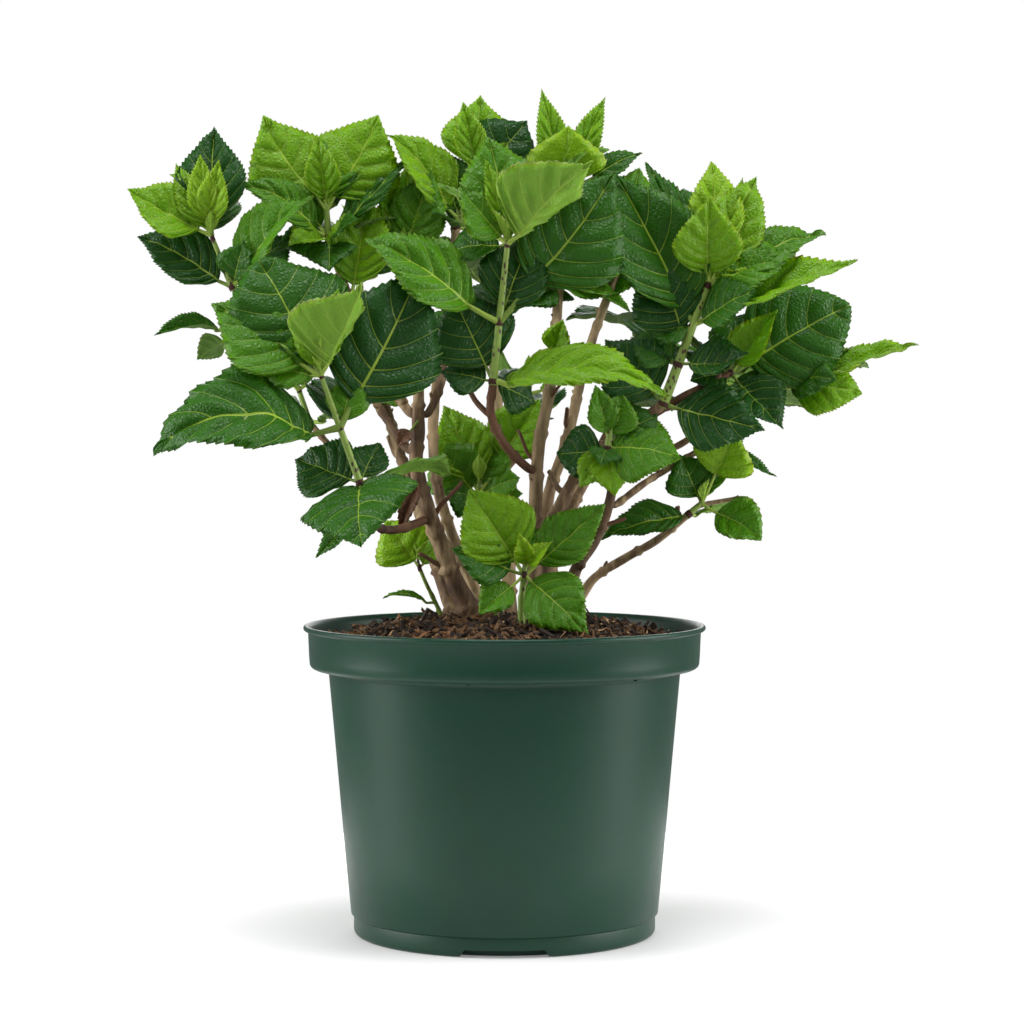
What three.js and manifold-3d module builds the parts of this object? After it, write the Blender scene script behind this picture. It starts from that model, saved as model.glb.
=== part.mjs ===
// Hydrangea shrub standing in its round nursery pot.
// Millimetres, +Z up. The origin is the centre of the pot's flat underside, the plant's
// front faces -Y, and +X is to the right of someone who looks at that front.

import * as THREE from "three";
import { mergeVertices } from "three/addons/utils/BufferGeometryUtils.js";
import Module from "manifold-3d";

const wasm = await Module();
wasm.setup();

// ---------------------------------------------------------------- driving dimensions

const GAP = 0.3; // clearance left between pieces that touch on the real plant

const POT = {
  height: 223,
  lipRadius: 145,
  lipDepth: 5,
  bandRadius: 142,
  bandDepth: 31,
  wallTopRadius: 127,
  wallFootRadius: 111,
  footRadius: 109,
  footHeight: 13,
  wall: 2.6,
  floor: 4,
  sides: 32,
};
const DRAIN = { width: 56, height: 5.5, depth: 12, count: 3 };
const SOIL = { mound: 226, edge: 209, flatRadius: 68 };

const LIMB = { step: 32, thickSides: 7, thinSides: 6, thickFrom: 4.5 };
const LEAF_SPREAD = 0.42; // half width of a leaf's lobe on a mass, in radians
const BALL_DETAIL = 2;
const MASS_CLEARANCE = 1.4; // a mass keeps this far back from its neighbour's lobes

// ---------------------------------------------------------------- finishes

const FINISH = {
  pot: { color: 0x2f5a4b, roughness: 0.42, metalness: 0 },
  soil: { color: 0x3b281c, roughness: 0.95, metalness: 0 },
  oldWood: { color: 0x6e5540, roughness: 0.85, metalness: 0 },
  greenWood: { color: 0x6f8a3c, roughness: 0.6, metalness: 0 },
  leaves: { color: 0x3f7a2c, roughness: 0.5, metalness: 0 },
};

const part = new THREE.Group();

function addMesh(name, geometry, finish) {
  const mesh = new THREE.Mesh(geometry, new THREE.MeshStandardMaterial(FINISH[finish]));
  mesh.name = name;
  part.add(mesh);
}

// ---------------------------------------------------------------- joining and cutting

function toSolid(geometry) {
  const bare = geometry.clone();
  bare.deleteAttribute("normal");
  bare.deleteAttribute("uv");
  const merged = mergeVertices(bare, 1e-4);
  return new wasm.Manifold(new wasm.Mesh({
    numProp: 3,
    vertProperties: new Float32Array(merged.attributes.position.array),
    triVerts: new Uint32Array(merged.index.array),
  }));
}

function toGeometry(solid) {
  const mesh = solid.getMesh();
  const geometry = new THREE.BufferGeometry();
  geometry.setAttribute("position", new THREE.BufferAttribute(mesh.vertProperties, 3));
  geometry.setIndex(new THREE.BufferAttribute(mesh.triVerts, 1));
  geometry.computeVertexNormals();
  return geometry;
}

function largestPiece(solid) {
  return solid.decompose().reduce((best, piece) => (piece.volume() > best.volume() ? piece : best));
}

// ---------------------------------------------------------------- pot and soil

// A profile of [radius, height] points is turned about the upright axis.
function turned(profile, sides) {
  const outline = profile.map(([radius, height]) => new THREE.Vector2(radius, height));
  return new THREE.LatheGeometry(outline, sides).rotateX(Math.PI / 2);
}

function potProfile() {
  const { height, lipRadius, lipDepth, bandRadius, bandDepth, wall, floor } = POT;
  const bandFoot = height - bandDepth;
  const outside = [
    [0, 0],
    [POT.footRadius - 2, 0],
    [POT.footRadius, 2],
    [POT.footRadius, POT.footHeight],
    [POT.wallFootRadius, POT.footHeight + 1],
    [POT.wallTopRadius, bandFoot],
    [bandRadius - 4, bandFoot],
    [bandRadius - 1, bandFoot + 3],
    [bandRadius, height - lipDepth],
    [lipRadius, height - lipDepth + 1],
    [lipRadius, height - 1],
    [lipRadius - 1.5, height],
  ];
  const inside = [
    [bandRadius - wall, height],
    [bandRadius - 1 - wall, bandFoot + 3 + wall],
    [POT.wallTopRadius - wall, bandFoot + wall],
    [POT.wallFootRadius - wall, floor + 3],
    [POT.wallFootRadius - wall - 3, floor],
    [0, floor],
  ];
  return { outside, inside };
}

// The foot's edge is relieved at even spacing from the front, so that water can run out under the pot.
function drainCuts() {
  const cuts = [];
  for (let i = 0; i < DRAIN.count; i += 1) {
    const block = new THREE.BoxGeometry(2 * DRAIN.depth, DRAIN.width, 2 * DRAIN.height);
    block.translate(POT.footRadius, 0, 0);
    block.rotateZ((i * 2 * Math.PI) / DRAIN.count - Math.PI / 2);
    cuts.push(toSolid(block));
  }
  return cuts;
}

function makePot() {
  const { outside, inside } = potProfile();
  let solid = toSolid(turned([...outside, ...inside], POT.sides));
  for (const cut of drainCuts()) solid = solid.subtract(cut);
  addMesh("pot", toGeometry(solid), "pot");
}

function makeSoil() {
  const { inside } = potProfile();
  const [rim, bandFoot, wallTop, wallFoot, corner] = inside;
  const edgeRadius = THREE.MathUtils.mapLinear(SOIL.edge, bandFoot[1], rim[1], bandFoot[0], rim[0]) - GAP;
  const profile = [
    [0, corner[1] + GAP],
    [corner[0] - GAP, corner[1] + GAP],
    [wallFoot[0] - GAP, wallFoot[1] + GAP],
    [wallTop[0] - GAP, wallTop[1] + GAP],
    [bandFoot[0] - GAP - 0.2, bandFoot[1] + GAP],
    [edgeRadius, SOIL.edge],
    [SOIL.flatRadius, SOIL.mound],
    [0, SOIL.mound],
  ];
  addMesh("soil", turned(profile, POT.sides), "soil");
}

// ---------------------------------------------------------------- stems and boughs

const limbs = {};

function radiusAlong(limb, share) {
  return THREE.MathUtils.lerp(limb.thick, limb.thin, share);
}

// True where a point stands clear of a limb's surface.
function clearOfLimb(point, limb) {
  const samples = 80;
  for (let i = 0; i <= samples; i += 1) {
    const share = i / samples;
    const reach = radiusAlong(limb, share) + GAP;
    if (limb.curve.getPoint(share).distanceTo(point) < reach) return false;
  }
  return true;
}

function ringPoints(curve, share, radius) {
  const centre = curve.getPointAt(share);
  const along = curve.getTangentAt(share);
  const across = new THREE.Vector3(along.z, 0.3, -along.x).cross(along).normalize();
  const points = [];
  for (let i = 0; i < 12; i += 1) {
    const offset = across.clone().multiplyScalar(radius);
    points.push(centre.clone().add(offset.applyAxisAngle(along, (i * Math.PI) / 6)));
  }
  return points;
}

// The route from where it stands free of its parent limb.
function trimmed(curve, radius, parent) {
  const samples = 300;
  let first = 0;
  while (first < samples) {
    const ring = ringPoints(curve, first / samples, radius);
    if (ring.every((point) => clearOfLimb(point, parent))) break;
    first += 1;
  }
  const start = first / samples;
  const count = 12;
  const points = [];
  for (let i = 0; i <= count; i += 1) points.push(curve.getPointAt(start + ((1 - start) * i) / count));
  return new THREE.CatmullRomCurve3(points, false, "centripetal");
}

// A cylinder whose rings are set along the route, standing out by growth all round and at its tip.
// A cane's first ring is level, because it is cut off flat at the ground.
function limbShape(curve, thick, thin, groundLevel, growth) {
  const steps = Math.max(3, Math.round(curve.getLength() / LIMB.step));
  const sides = thick > LIMB.thickFrom ? LIMB.thickSides : LIMB.thinSides;
  const frames = curve.computeFrenetFrames(steps, false);
  const shape = new THREE.CylinderGeometry(thin + growth, thick + growth, 1, sides, steps);
  const position = shape.attributes.position;
  const vertex = new THREE.Vector3();
  for (let i = 0; i < position.count; i += 1) {
    const ring = Math.round((position.getY(i) + 0.5) * steps);
    vertex.copy(curve.getPointAt(ring / steps));
    vertex.addScaledVector(frames.normals[ring], position.getX(i));
    vertex.addScaledVector(frames.binormals[ring], -position.getZ(i));
    if (ring === steps) vertex.addScaledVector(frames.tangents[ring], growth);
    if (ring === 0 && groundLevel) {
      const along = frames.tangents[0];
      vertex.addScaledVector(along, (groundLevel - vertex.z) / along.z);
    }
    position.setXYZ(i, vertex.x, vertex.y, vertex.z);
  }
  shape.computeVertexNormals();
  return shape;
}

// One tapering limb along its route, cut off flat at the ground or standing free of its parent.
function limb(name, finish, thick, thin, route, parentName) {
  const points = route.map(([x, y, z]) => new THREE.Vector3(x, y, z));
  let curve = new THREE.CatmullRomCurve3(points, false, "centripetal");
  if (parentName) curve = trimmed(curve, thick, limbs[parentName]);
  const groundLevel = parentName ? 0 : GROUND;
  const grown = toSolid(limbShape(curve, thick, thin, groundLevel, 1.5 * GAP));
  limbs[name] = { curve, thick, thin, grown };
  addMesh(name, limbShape(curve, thick, thin, groundLevel, 0), finish);
}

const GROUND = SOIL.mound + GAP;

function makeLimbs() {
  limb("cane_left", "oldWood", 8.5, 4.6,
    [[-24, 20, GROUND], [-37, 14, 256], [-49, 8, 288], [-58, 2, 313], [-64, 0, 342], [-62, 0, 370], [-62, 0, 397]]);
  limb("cane_left_back", "oldWood", 5, 3.4,
    [[-14, 47, GROUND], [-34, 41, 275], [-47, 36, 312], [-52, 38, 345], [-50, 48, 400], [-42, 57, 460], [-36, 58, 512]]);
  limb("cane_centre", "oldWood", 6, 3.4,
    [[17, 13, GROUND], [21, 8, 269], [23, 4, 325], [26, 3, 360], [34, 12, 397], [38, 42, 436], [41, 58, 480], [45, 62, 532]]);
  limb("cane_right_inner", "oldWood", 5.5, 3.2,
    [[32, 34, GROUND], [29, 28, 268], [30, 22, 305], [38, 17, 335], [48, 18, 363], [54, 28, 395], [70, 50, 445], [88, 62, 490]]);
  limb("cane_right", "oldWood", 6.5, 4,
    [[27, -33, GROUND], [30, -22, 263], [36, -12, 300], [57, -9, 337], [72, -14, 352], [97, -22, 368], [113, -28, 382]]);
  limb("cane_right_low", "oldWood", 5.5, 3.2,
    [[42, -10, GROUND], [52, -10, 264], [66, -8, 286], [77, -6, 311], [76, -16, 332], [73, -32, 350]]);
  limb("cane_far_right", "oldWood", 4, 2.8,
    [[50, 40, GROUND], [64, 40, 252], [84, 36, 266], [105, 28, 278], [124, 21, 293], [134, 16, 302]]);
  limb("cane_back_left", "oldWood", 6, 3.4,
    [[-38, 50, GROUND], [-60, 74, 290], [-84, 108, 360], [-104, 142, 425], [-110, 156, 452]]);
  limb("cane_back", "oldWood", 6, 3.4,
    [[4, 60, GROUND], [2, 90, 300], [-5, 125, 380], [-12, 158, 448], [-13, 168, 476]]);
  limb("cane_back_right", "oldWood", 5.5, 3.4,
    [[26, 58, GROUND], [45, 85, 290], [74, 114, 350], [106, 142, 410], [118, 152, 436]]);

  limb("bough_left_top", "oldWood", 3.8, 3,
    [[-62, 0, 368], [-80, 14, 392], [-98, 30, 426], [-116, 39, 468], [-127, 42, 492], [-129, 42, 504]], "cane_left");
  limb("bough_far_left", "oldWood", 3.4, 2.6,
    [[-64, 0, 346], [-77, 9, 355], [-92, 18, 382], [-120, 25, 414], [-160, 25, 438], [-188, 23, 454], [-198, 22, 467]],
    "cane_left");
  limb("bough_left_inner", "oldWood", 3.4, 2.8,
    [[-62, 0, 362], [-50, 7, 386], [-44, 16, 412], [-56, 36, 446], [-72, 46, 468], [-76, 48, 478]], "cane_left");
  limb("bough_left_front", "oldWood", 3.6, 2.8,
    [[-54, 5, 300], [-72, -16, 293], [-88, -45, 294], [-96, -76, 308], [-99, -90, 324], [-100, -92, 328]], "cane_left");
  limb("bough_left_behind", "oldWood", 2.6, 2.2,
    [[-126, 25, 418], [-146, 46, 422], [-172, 60, 432], [-192, 66, 440]], "bough_far_left");
  limb("bough_tall", "oldWood", 3.6, 3.2,
    [[23, 4, 330], [-2, -24, 356], [-10, -42, 376], [-9, -58, 392], [-8, -60, 398]], "cane_centre");
  limb("bough_inner", "oldWood", 2.4, 2,
    [[-9, -40, 372], [-22, -30, 386], [-28, -26, 402], [-30, -24, 414]], "bough_tall");
  limb("bough_right_outer", "oldWood", 3.2, 2.6,
    [[100, -22, 370], [122, -14, 384], [146, -6, 396], [163, 0, 404]], "cane_right");
  limb("bough_right_tip", "oldWood", 2.6, 2.2,
    [[136, -9, 391], [158, 6, 391], [182, 12, 392], [203, 12, 394]], "bough_right_outer");
  limb("bough_right_low", "oldWood", 3, 2.4,
    [[76, -6, 306], [92, 6, 318], [113, 15, 332], [134, 24, 343], [147, 28, 351]], "cane_right_low");
  limb("bough_back_left", "oldWood", 3.2, 2.6,
    [[-68, 85, 314], [-98, 96, 326], [-128, 108, 346], [-148, 116, 368]], "cane_back_left");
  limb("bough_back_low", "oldWood", 3, 2.4,
    [[0, 106, 338], [10, 140, 342], [16, 172, 354], [18, 186, 366]], "cane_back");
  limb("bough_back_right", "oldWood", 3.2, 2.6,
    [[66, 106, 334], [100, 108, 340], [134, 106, 352], [158, 104, 372]], "cane_back_right");

  limb("shoot_front", "greenWood", 3, 2.4,
    [[12, -50, GROUND], [12, -52, 244], [14, -55, 262]]);
  limb("shoot_left", "greenWood", 1.9, 1.5,
    [[-46, 28, GROUND], [-51, 26, 238], [-58, 22, 253], [-62, 20, 263]]);
  limb("shoot_back", "greenWood", 2.4, 2,
    [[-6, 22, GROUND], [-14, 36, 270], [-19, 46, 300], [-20, 48, 314]]);
}

// ---------------------------------------------------------------- masses of foliage

// A direction from its turn about the upright axis and its rise above level, in degrees.
function heading(turn, rise, reach) {
  const flat = Math.cos(THREE.MathUtils.degToRad(rise)) * reach;
  const angle = THREE.MathUtils.degToRad(turn);
  const up = Math.sin(THREE.MathUtils.degToRad(rise)) * reach;
  return new THREE.Vector3(flat * Math.cos(angle), flat * Math.sin(angle), up);
}

// Leaves stand in opposite pairs, each pair square to the one below it, shorter and steeper
// towards the tip of the shoot.
function leafPairs(turn, reach, count) {
  const rows = [];
  for (let level = 0; level < count; level += 1) {
    const side = turn + 90 * level;
    const rise = 8 + 24 * level;
    const length = reach * (1 - 0.13 * level);
    rows.push([26 * level, side, rise, length], [26 * level, side + 180, rise - 6, length * 0.94]);
  }
  return rows;
}

const masses = [];

// Moves the vertex that lies nearest an arm's direction out to the arm's end.
function drawOut(position, arm) {
  const vertex = new THREE.Vector3();
  let nearest = 0;
  let best = Infinity;
  for (let i = 0; i < position.count; i += 1) {
    const away = vertex.fromBufferAttribute(position, i).angleTo(arm);
    if (away < best) {
      best = away;
      nearest = i;
    }
  }
  position.setXYZ(nearest, arm.x, arm.y, arm.z);
}

// The uneven body round a shoot: a ball with one lobe drawn out to the tip of each leaf.
function lobedBody(centre, bulk, arms, growth) {
  const ball = new THREE.IcosahedronGeometry(1, BALL_DETAIL);
  ball.deleteAttribute("normal");
  ball.deleteAttribute("uv");
  const merged = mergeVertices(ball, 1e-4);
  const position = merged.attributes.position;
  const vertex = new THREE.Vector3();
  for (let i = 0; i < position.count; i += 1) {
    vertex.fromBufferAttribute(position, i);
    let radius = bulk;
    for (const arm of arms) {
      const spread = vertex.angleTo(arm) / LEAF_SPREAD;
      radius = Math.max(radius, bulk + (arm.length() - bulk) * Math.exp(-spread * spread));
    }
    vertex.multiplyScalar(radius + growth);
    position.setXYZ(i, vertex.x, vertex.y, vertex.z);
  }
  for (const arm of arms) drawOut(position, arm.clone().setLength(arm.length() + growth));
  merged.translate(centre.x, centre.y, centre.z);
  return toSolid(merged);
}

// Leaves are rows of [height up the shoot, turn, rise, reach]. The mass is cut back from the
// masses made before it and from the limbs.
function leafMass(name, limbName, bulk, leaves) {
  const { curve } = limbs[limbName];
  const foot = curve.getPointAt(1);
  const along = curve.getTangentAt(1);
  const middle = leaves.reduce((sum, row) => sum + row[0], 0) / leaves.length;
  const rise = middle < 0 ? middle : Math.max(middle, 0.7 * bulk);
  const centre = foot.clone().addScaledVector(along, rise);
  const arms = leaves.map(([up, turn, steepness, reach]) => (
    heading(turn, steepness, reach).addScaledVector(along, up - rise)
  ));
  let solid = lobedBody(centre, bulk, arms, 0);
  for (const neighbour of masses) solid = solid.subtract(neighbour);
  for (const stem of Object.values(limbs)) solid = solid.subtract(stem.grown);
  masses.push(lobedBody(centre, bulk, arms, MASS_CLEARANCE));
  addMesh(name, toGeometry(largestPiece(solid)), "leaves");
}

function makeMasses() {
  leafMass("leaves_far_left", "bough_far_left", 22, [
    [0, -166, 27, 80], [0, -23, 51, 89], [0, 70, 20, 62],
    [36, -157, 27, 71], [36, 100, 77, 87], [36, -85, 72, 58],
  ]);
  leafMass("leaves_left_top", "bough_left_top", 24, [
    [0, 17, 44, 88], [0, -161, 30, 78], [0, -86, -35, 52], [0, 120, 10, 84],
    [18, -153, 53, 84], [18, -31, 56, 80], [18, 89, 63, 72],
  ]);
  leafMass("leaves_left_front", "bough_left_front", 28, [
    [0, -77, -47, 57], [0, 155, 10, 52], [0, -12, 31, 44],
    [38, 176, -6, 128], [38, 8, 64, 126],
    [76, -138, 55, 94], [76, 173, 33, 93], [76, -38, 53, 71], [76, -160, 72, 52],
  ]);
  leafMass("leaves_tall", "bough_tall", 22, [
    [0, -23, -8, 128], [0, 130, 49, 79],
    [43, 8, 52, 135], [43, -169, 31, 111],
    [96, 16, 42, 86], [96, 129, 64, 82], [96, -120, 70, 50],
  ]);
  leafMass("leaves_right_top", "cane_right", 28, [
    [38, -168, 56, 63], [38, -32, -34, 84], [60, -18, 27, 89], [60, 16, 20, 134], [60, -59, -13, 66],
    [90, -94, 74, 63], [90, 77, 75, 93], [90, 48, 54, 98], [90, -166, 49, 106], [90, 34, 20, 119],
  ]);
  leafMass("leaves_right", "bough_right_outer", 20, [
    [0, 0, 35, 96], [0, -33, 49, 56], [0, -54, -39, 64], [0, 60, 5, 80],
  ]);
  leafMass("leaves_right_tip", "bough_right_tip", 14, [
    [0, -7, 18, 100], [0, -23, -6, 56], [0, 75, 25, 60], [0, 150, 40, 45],
  ]);
  leafMass("leaves_top", "cane_left_back", 24, [
    [8, -154, 43, 79], [8, 138, 50, 74], [8, 45, 20, 70],
    [36, -85, 69, 70], [36, 129, 73, 65], [36, 21, 50, 64], [36, 100, 30, 72],
  ]);
  leafMass("leaves_top_right", "cane_centre", 20, [
    [8, -146, 73, 74], [8, -4, 66, 74], [8, 46, 48, 64], [8, -21, 22, 67], [8, 120, 30, 70], [8, 80, 10, 78],
  ]);
  leafMass("leaves_left_inner", "bough_left_inner", 20, [
    [0, -120, 66, 78], [0, 0, 80, 78], [8, 95, 20, 70], [0, 170, 20, 60],
  ]);
  leafMass("leaves_right_inner", "cane_right_inner", 22, [
    [0, 30, 60, 86], [0, -150, 30, 50], [20, 95, 40, 88], [20, -60, 60, 60], [0, 140, 15, 74],
  ]);
  leafMass("leaves_centre_back", "cane_centre", 18, [
    [-62, -145, -19, 44], [-62, -11, -23, 62], [-62, 20, -3, 62], [-62, 99, 5, 66],
  ]);
  leafMass("leaves_inner", "bough_inner", 14, [
    [0, 170, 30, 48], [6, 60, 50, 52], [0, -60, 10, 36],
  ]);
  leafMass("leaves_right_mid", "cane_right_low", 20, [
    [0, -137, 56, 39], [0, -65, -57, 41], [0, -26, -14, 58], [0, 26, 43, 47], [0, 80, 20, 50],
  ]);
  leafMass("leaves_right_low", "bough_right_low", 12, [
    [0, -46, -47, 37], [0, 22, -23, 63], [0, 70, 20, 56], [0, 160, 30, 40],
  ]);
  leafMass("leaves_far_low", "cane_far_right", 11, [
    [0, -166, -12, 70], [0, -17, -5, 54], [0, 30, 78, 43], [0, 100, 20, 50],
  ]);
  leafMass("leaves_left_behind", "bough_left_behind", 13, [
    [0, 175, -38, 62], [0, -175, -20, 46], [0, 110, 10, 70], [0, 50, 25, 56],
  ]);
  leafMass("leaves_back_left", "cane_back_left", 26, leafPairs(110, 96, 3));
  leafMass("leaves_back", "cane_back", 28, leafPairs(75, 100, 3));
  leafMass("leaves_back_right", "cane_back_right", 26, leafPairs(50, 98, 3));
  leafMass("leaves_back_far_left", "bough_back_left", 22, leafPairs(150, 88, 2));
  leafMass("leaves_back_low", "bough_back_low", 20, leafPairs(85, 80, 2));
  leafMass("leaves_back_far_right", "bough_back_right", 22, leafPairs(30, 90, 2));
  leafMass("leaves_shoot_front", "shoot_front", 12, [
    [0, -159, 56, 73], [0, 5, 41, 77], [0, -154, 17, 60], [0, -140, -32, 46], [0, -46, -32, 74], [0, 100, 45, 50],
  ]);
  leafMass("leaves_shoot_left", "shoot_left", 6, [
    [0, -160, 40, 40], [0, 100, 35, 36],
  ]);
  leafMass("leaves_shoot_back", "shoot_back", 10, [
    [0, -145, 51, 55], [0, 142, 62, 69], [0, 35, 55, 76], [0, 100, 20, 50],
  ]);
}

makePot();
makeSoil();
makeLimbs();
makeMasses();

export default part;
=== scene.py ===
"""A potted hydrangea shrub: pot, bark mix, canes, shoots and leaves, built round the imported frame."""

import math

import bmesh
import bpy
import numpy as np
from mathutils import Matrix, Vector, noise


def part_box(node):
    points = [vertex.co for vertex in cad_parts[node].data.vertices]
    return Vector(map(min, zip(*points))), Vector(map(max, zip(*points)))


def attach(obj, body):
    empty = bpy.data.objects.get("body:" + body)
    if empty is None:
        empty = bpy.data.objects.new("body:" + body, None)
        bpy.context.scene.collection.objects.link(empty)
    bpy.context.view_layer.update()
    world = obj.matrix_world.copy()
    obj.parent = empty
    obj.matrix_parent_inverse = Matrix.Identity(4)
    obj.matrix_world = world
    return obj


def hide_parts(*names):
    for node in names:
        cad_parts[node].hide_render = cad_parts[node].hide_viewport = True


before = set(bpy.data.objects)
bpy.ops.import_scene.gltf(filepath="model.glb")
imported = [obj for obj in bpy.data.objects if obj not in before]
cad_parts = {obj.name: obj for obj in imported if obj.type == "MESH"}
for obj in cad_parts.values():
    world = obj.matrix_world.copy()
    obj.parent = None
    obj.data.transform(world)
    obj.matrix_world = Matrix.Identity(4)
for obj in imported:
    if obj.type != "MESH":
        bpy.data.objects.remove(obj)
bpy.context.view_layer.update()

bl_info = {
    "name": "Potted Hydrangea",
    "version": (1, 0, 0),
    "blender": (4, 5, 0),
    "location": "View3D > Sidebar > Hydrangea",
    "description": "Builds a hydrangea shrub in its nursery pot round a packed frame",
    "category": "Add Mesh",
}

MM = 0.001
ROOT = "root"
POT_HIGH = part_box("pot")[1]
SOIL_LOW, SOIL_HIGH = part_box("soil")


def linear(red, green, blue):
    """A colour from its usual 0 to 255 display values, as linear light."""
    shares = [value / 255 for value in (red, green, blue)]
    return tuple(s / 12.92 if s <= 0.04045 else ((s + 0.055) / 1.055) ** 2.4 for s in shares)


def colour_property(name, description, display):
    return bpy.props.FloatVectorProperty(
        name=name, description=description, default=linear(*display), subtype="COLOR", size=3, min=0, max=1)


def length_property(name, description, default):
    return bpy.props.FloatProperty(
        name=name, description=description, default=default, unit="LENGTH", subtype="DISTANCE")


# ---------------------------------------------------------------- settings

class PotSettings(bpy.types.PropertyGroup):
    wall: length_property("Wall", "Thickness of the moulded wall", 2.6 * MM)
    band_depth: length_property("Band depth", "Height of the band under the lip", 31 * MM)
    foot_height: length_property("Foot height", "Height of the stepped foot ring", 13 * MM)
    drain_width: length_property("Drain width", "Width of each drain relief under the foot", 56 * MM)
    drain_height: length_property("Drain height", "Height of each drain relief", 5.5 * MM)
    colour: colour_property("Colour", "Dark green of the moulded plastic", (8, 54, 38))


class SoilSettings(bpy.types.PropertyGroup):
    chips: bpy.props.IntProperty(name="Chips", description="Bark chips on the surface", default=3400, min=0)
    seed: bpy.props.IntProperty(name="Seed", description="Start of the random draw for the chips", default=11)
    dark: colour_property("Dark bark", "Wet shredded bark", (42, 28, 18))
    brown: colour_property("Brown bark", "Most of the chips", (100, 72, 44))
    red: colour_property("Red bark", "Fresh reddish chips", (124, 86, 54))
    tan: colour_property("Tan slivers", "Pale wood slivers and fibres", (190, 154, 112))


class StemSettings(bpy.types.PropertyGroup):
    sides: bpy.props.IntProperty(name="Sides", description="Faces round a cane", default=20, min=6)
    spacing: length_property("Ring spacing", "Distance between the rings along a cane", 2.4 * MM)
    node_spacing: length_property("Node spacing", "Distance between the joints of a cane", 31 * MM)
    seed: bpy.props.IntProperty(name="Seed", description="Start of the random draw for the stems", default=5)
    bark_dark: colour_property("Dark bark", "Furrows and nodes", (62, 43, 30))
    bark_brown: colour_property("Brown bark", "Older cane", (108, 83, 58))
    bark_tan: colour_property("Tan bark", "Peeled and sunlit strips", (180, 156, 118))
    shoot_green: colour_property("Green shoot", "Young stem", (124, 150, 62))
    shoot_purple: colour_property("Purple joints", "Joints and spots of the young stem", (66, 38, 32))


class LeafSettings(bpy.types.PropertyGroup):
    seed: bpy.props.IntProperty(name="Seed", description="Start of the random draw for the leaves", default=3)
    thickness: length_property("Thickness", "Thickness of a leaf blade", 0.4 * MM)
    roughness: bpy.props.FloatProperty(
        name="Roughness", description="Roughness of the upper face", default=0.38, subtype="FACTOR",
        min=0, max=1)
    deep: colour_property("Deep", "Oldest leaves, blue-green", (24, 70, 14))
    dark: colour_property("Dark", "Old leaves", (42, 92, 10))
    mid: colour_property("Mid", "Grown leaves", (70, 122, 8))
    fresh: colour_property("Fresh", "New leaves", (106, 152, 10))
    young: colour_property("Young", "Leaves at the tips, yellow-green", (128, 170, 24))
    brown: colour_property("Dried", "Dried leaves", (92, 62, 42))


class StageSettings(bpy.types.PropertyGroup):
    distance: length_property("Camera distance", "From the pot's axis to the camera", 2.14)
    height: length_property("Camera height", "Height of the camera over the floor", 0.379)
    lens: bpy.props.FloatProperty(
        name="Lens", description="Focal length in millimetres", default=104.4, min=1)
    aim_side: length_property("Aim to the side", "Centre of the view, to the right of the axis", 5.4 * MM)
    aim_height: length_property("Aim height", "Centre of the view, over the floor", 0.304)


SETTINGS = {
    "hydrangea_pot": PotSettings,
    "hydrangea_soil": SoilSettings,
    "hydrangea_stems": StemSettings,
    "hydrangea_leaves": LeafSettings,
    "hydrangea_stage": StageSettings,
}


# ---------------------------------------------------------------- materials

def new_material(name, colour, roughness):
    """(material, its node tree, its Principled shader) of a plain colour and roughness."""
    material = bpy.data.materials.new(name)
    material.use_nodes = True
    shader = material.node_tree.nodes["Principled BSDF"]
    shader.inputs["Base Color"].default_value = (*colour, 1)
    shader.inputs["Roughness"].default_value = roughness
    material.diffuse_color = (*colour, 1)
    return material, material.node_tree, shader


def add_node(tree, kind, **inputs):
    node = tree.nodes.new(kind)
    for name, value in inputs.items():
        node.inputs[name.replace("_", " ")].default_value = value
    return node


def object_place(tree, scale):
    """Object coordinates, stretched by a Mapping node."""
    place = tree.nodes.new("ShaderNodeTexCoord")
    mapping = tree.nodes.new("ShaderNodeMapping")
    mapping.inputs["Scale"].default_value = scale
    tree.links.new(place.outputs["Object"], mapping.inputs["Vector"])
    return mapping.outputs["Vector"]


def noise_value(tree, vector, scale, detail=4.0, roughness=0.55):
    node = add_node(tree, "ShaderNodeTexNoise", Scale=scale, Detail=detail, Roughness=roughness)
    tree.links.new(vector, node.inputs["Vector"])
    return node.outputs["Fac"]


def ramp(tree, value, stops):
    """A colour ramp through (position, colour) stops."""
    node = tree.nodes.new("ShaderNodeValToRGB")
    elements = node.color_ramp.elements
    while len(elements) < len(stops):
        elements.new(0.5)
    for element, (position, colour) in zip(elements, stops):
        element.position = position
        element.color = (*colour, 1)
    tree.links.new(value, node.inputs["Fac"])
    return node.outputs["Color"]


def map_range(tree, value, low, high, first=0.0, last=1.0):
    """Turns a value between first and last into one between low and high."""
    node = add_node(tree, "ShaderNodeMapRange", From_Min=first, From_Max=last, To_Min=low, To_Max=high)
    tree.links.new(value, node.inputs["Value"])
    return node.outputs["Result"]


def add_bump(tree, shader, height, strength, distance):
    bump = add_node(tree, "ShaderNodeBump", Strength=strength, Distance=distance)
    tree.links.new(height, bump.inputs["Height"])
    tree.links.new(bump.outputs["Normal"], shader.inputs["Normal"])


def scaled(colour, factor):
    return tuple(min(1.0, channel * factor) for channel in colour)


def blended(first, second, share):
    return tuple(a + (b - a) * share for a, b in zip(first, second))


def pot_material(colour):
    material, tree, shader = new_material("green_moulded_plastic", colour, 0.36)
    place = object_place(tree, (1, 1, 1))
    clouds = noise_value(tree, place, 9, 5)
    tint = ramp(tree, clouds, [(0.3, scaled(colour, 0.88)), (0.7, scaled(colour, 1.1))])
    tree.links.new(tint, shader.inputs["Base Color"])
    scuffs = noise_value(tree, place, 60, 6, 0.65)
    tree.links.new(map_range(tree, scuffs, 0.3, 0.46), shader.inputs["Roughness"])
    grain = noise_value(tree, place, 900, 3)
    add_bump(tree, shader, grain, 0.12, 0.0004)
    shader.inputs["Specular IOR Level"].default_value = 0.33
    return material


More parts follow.
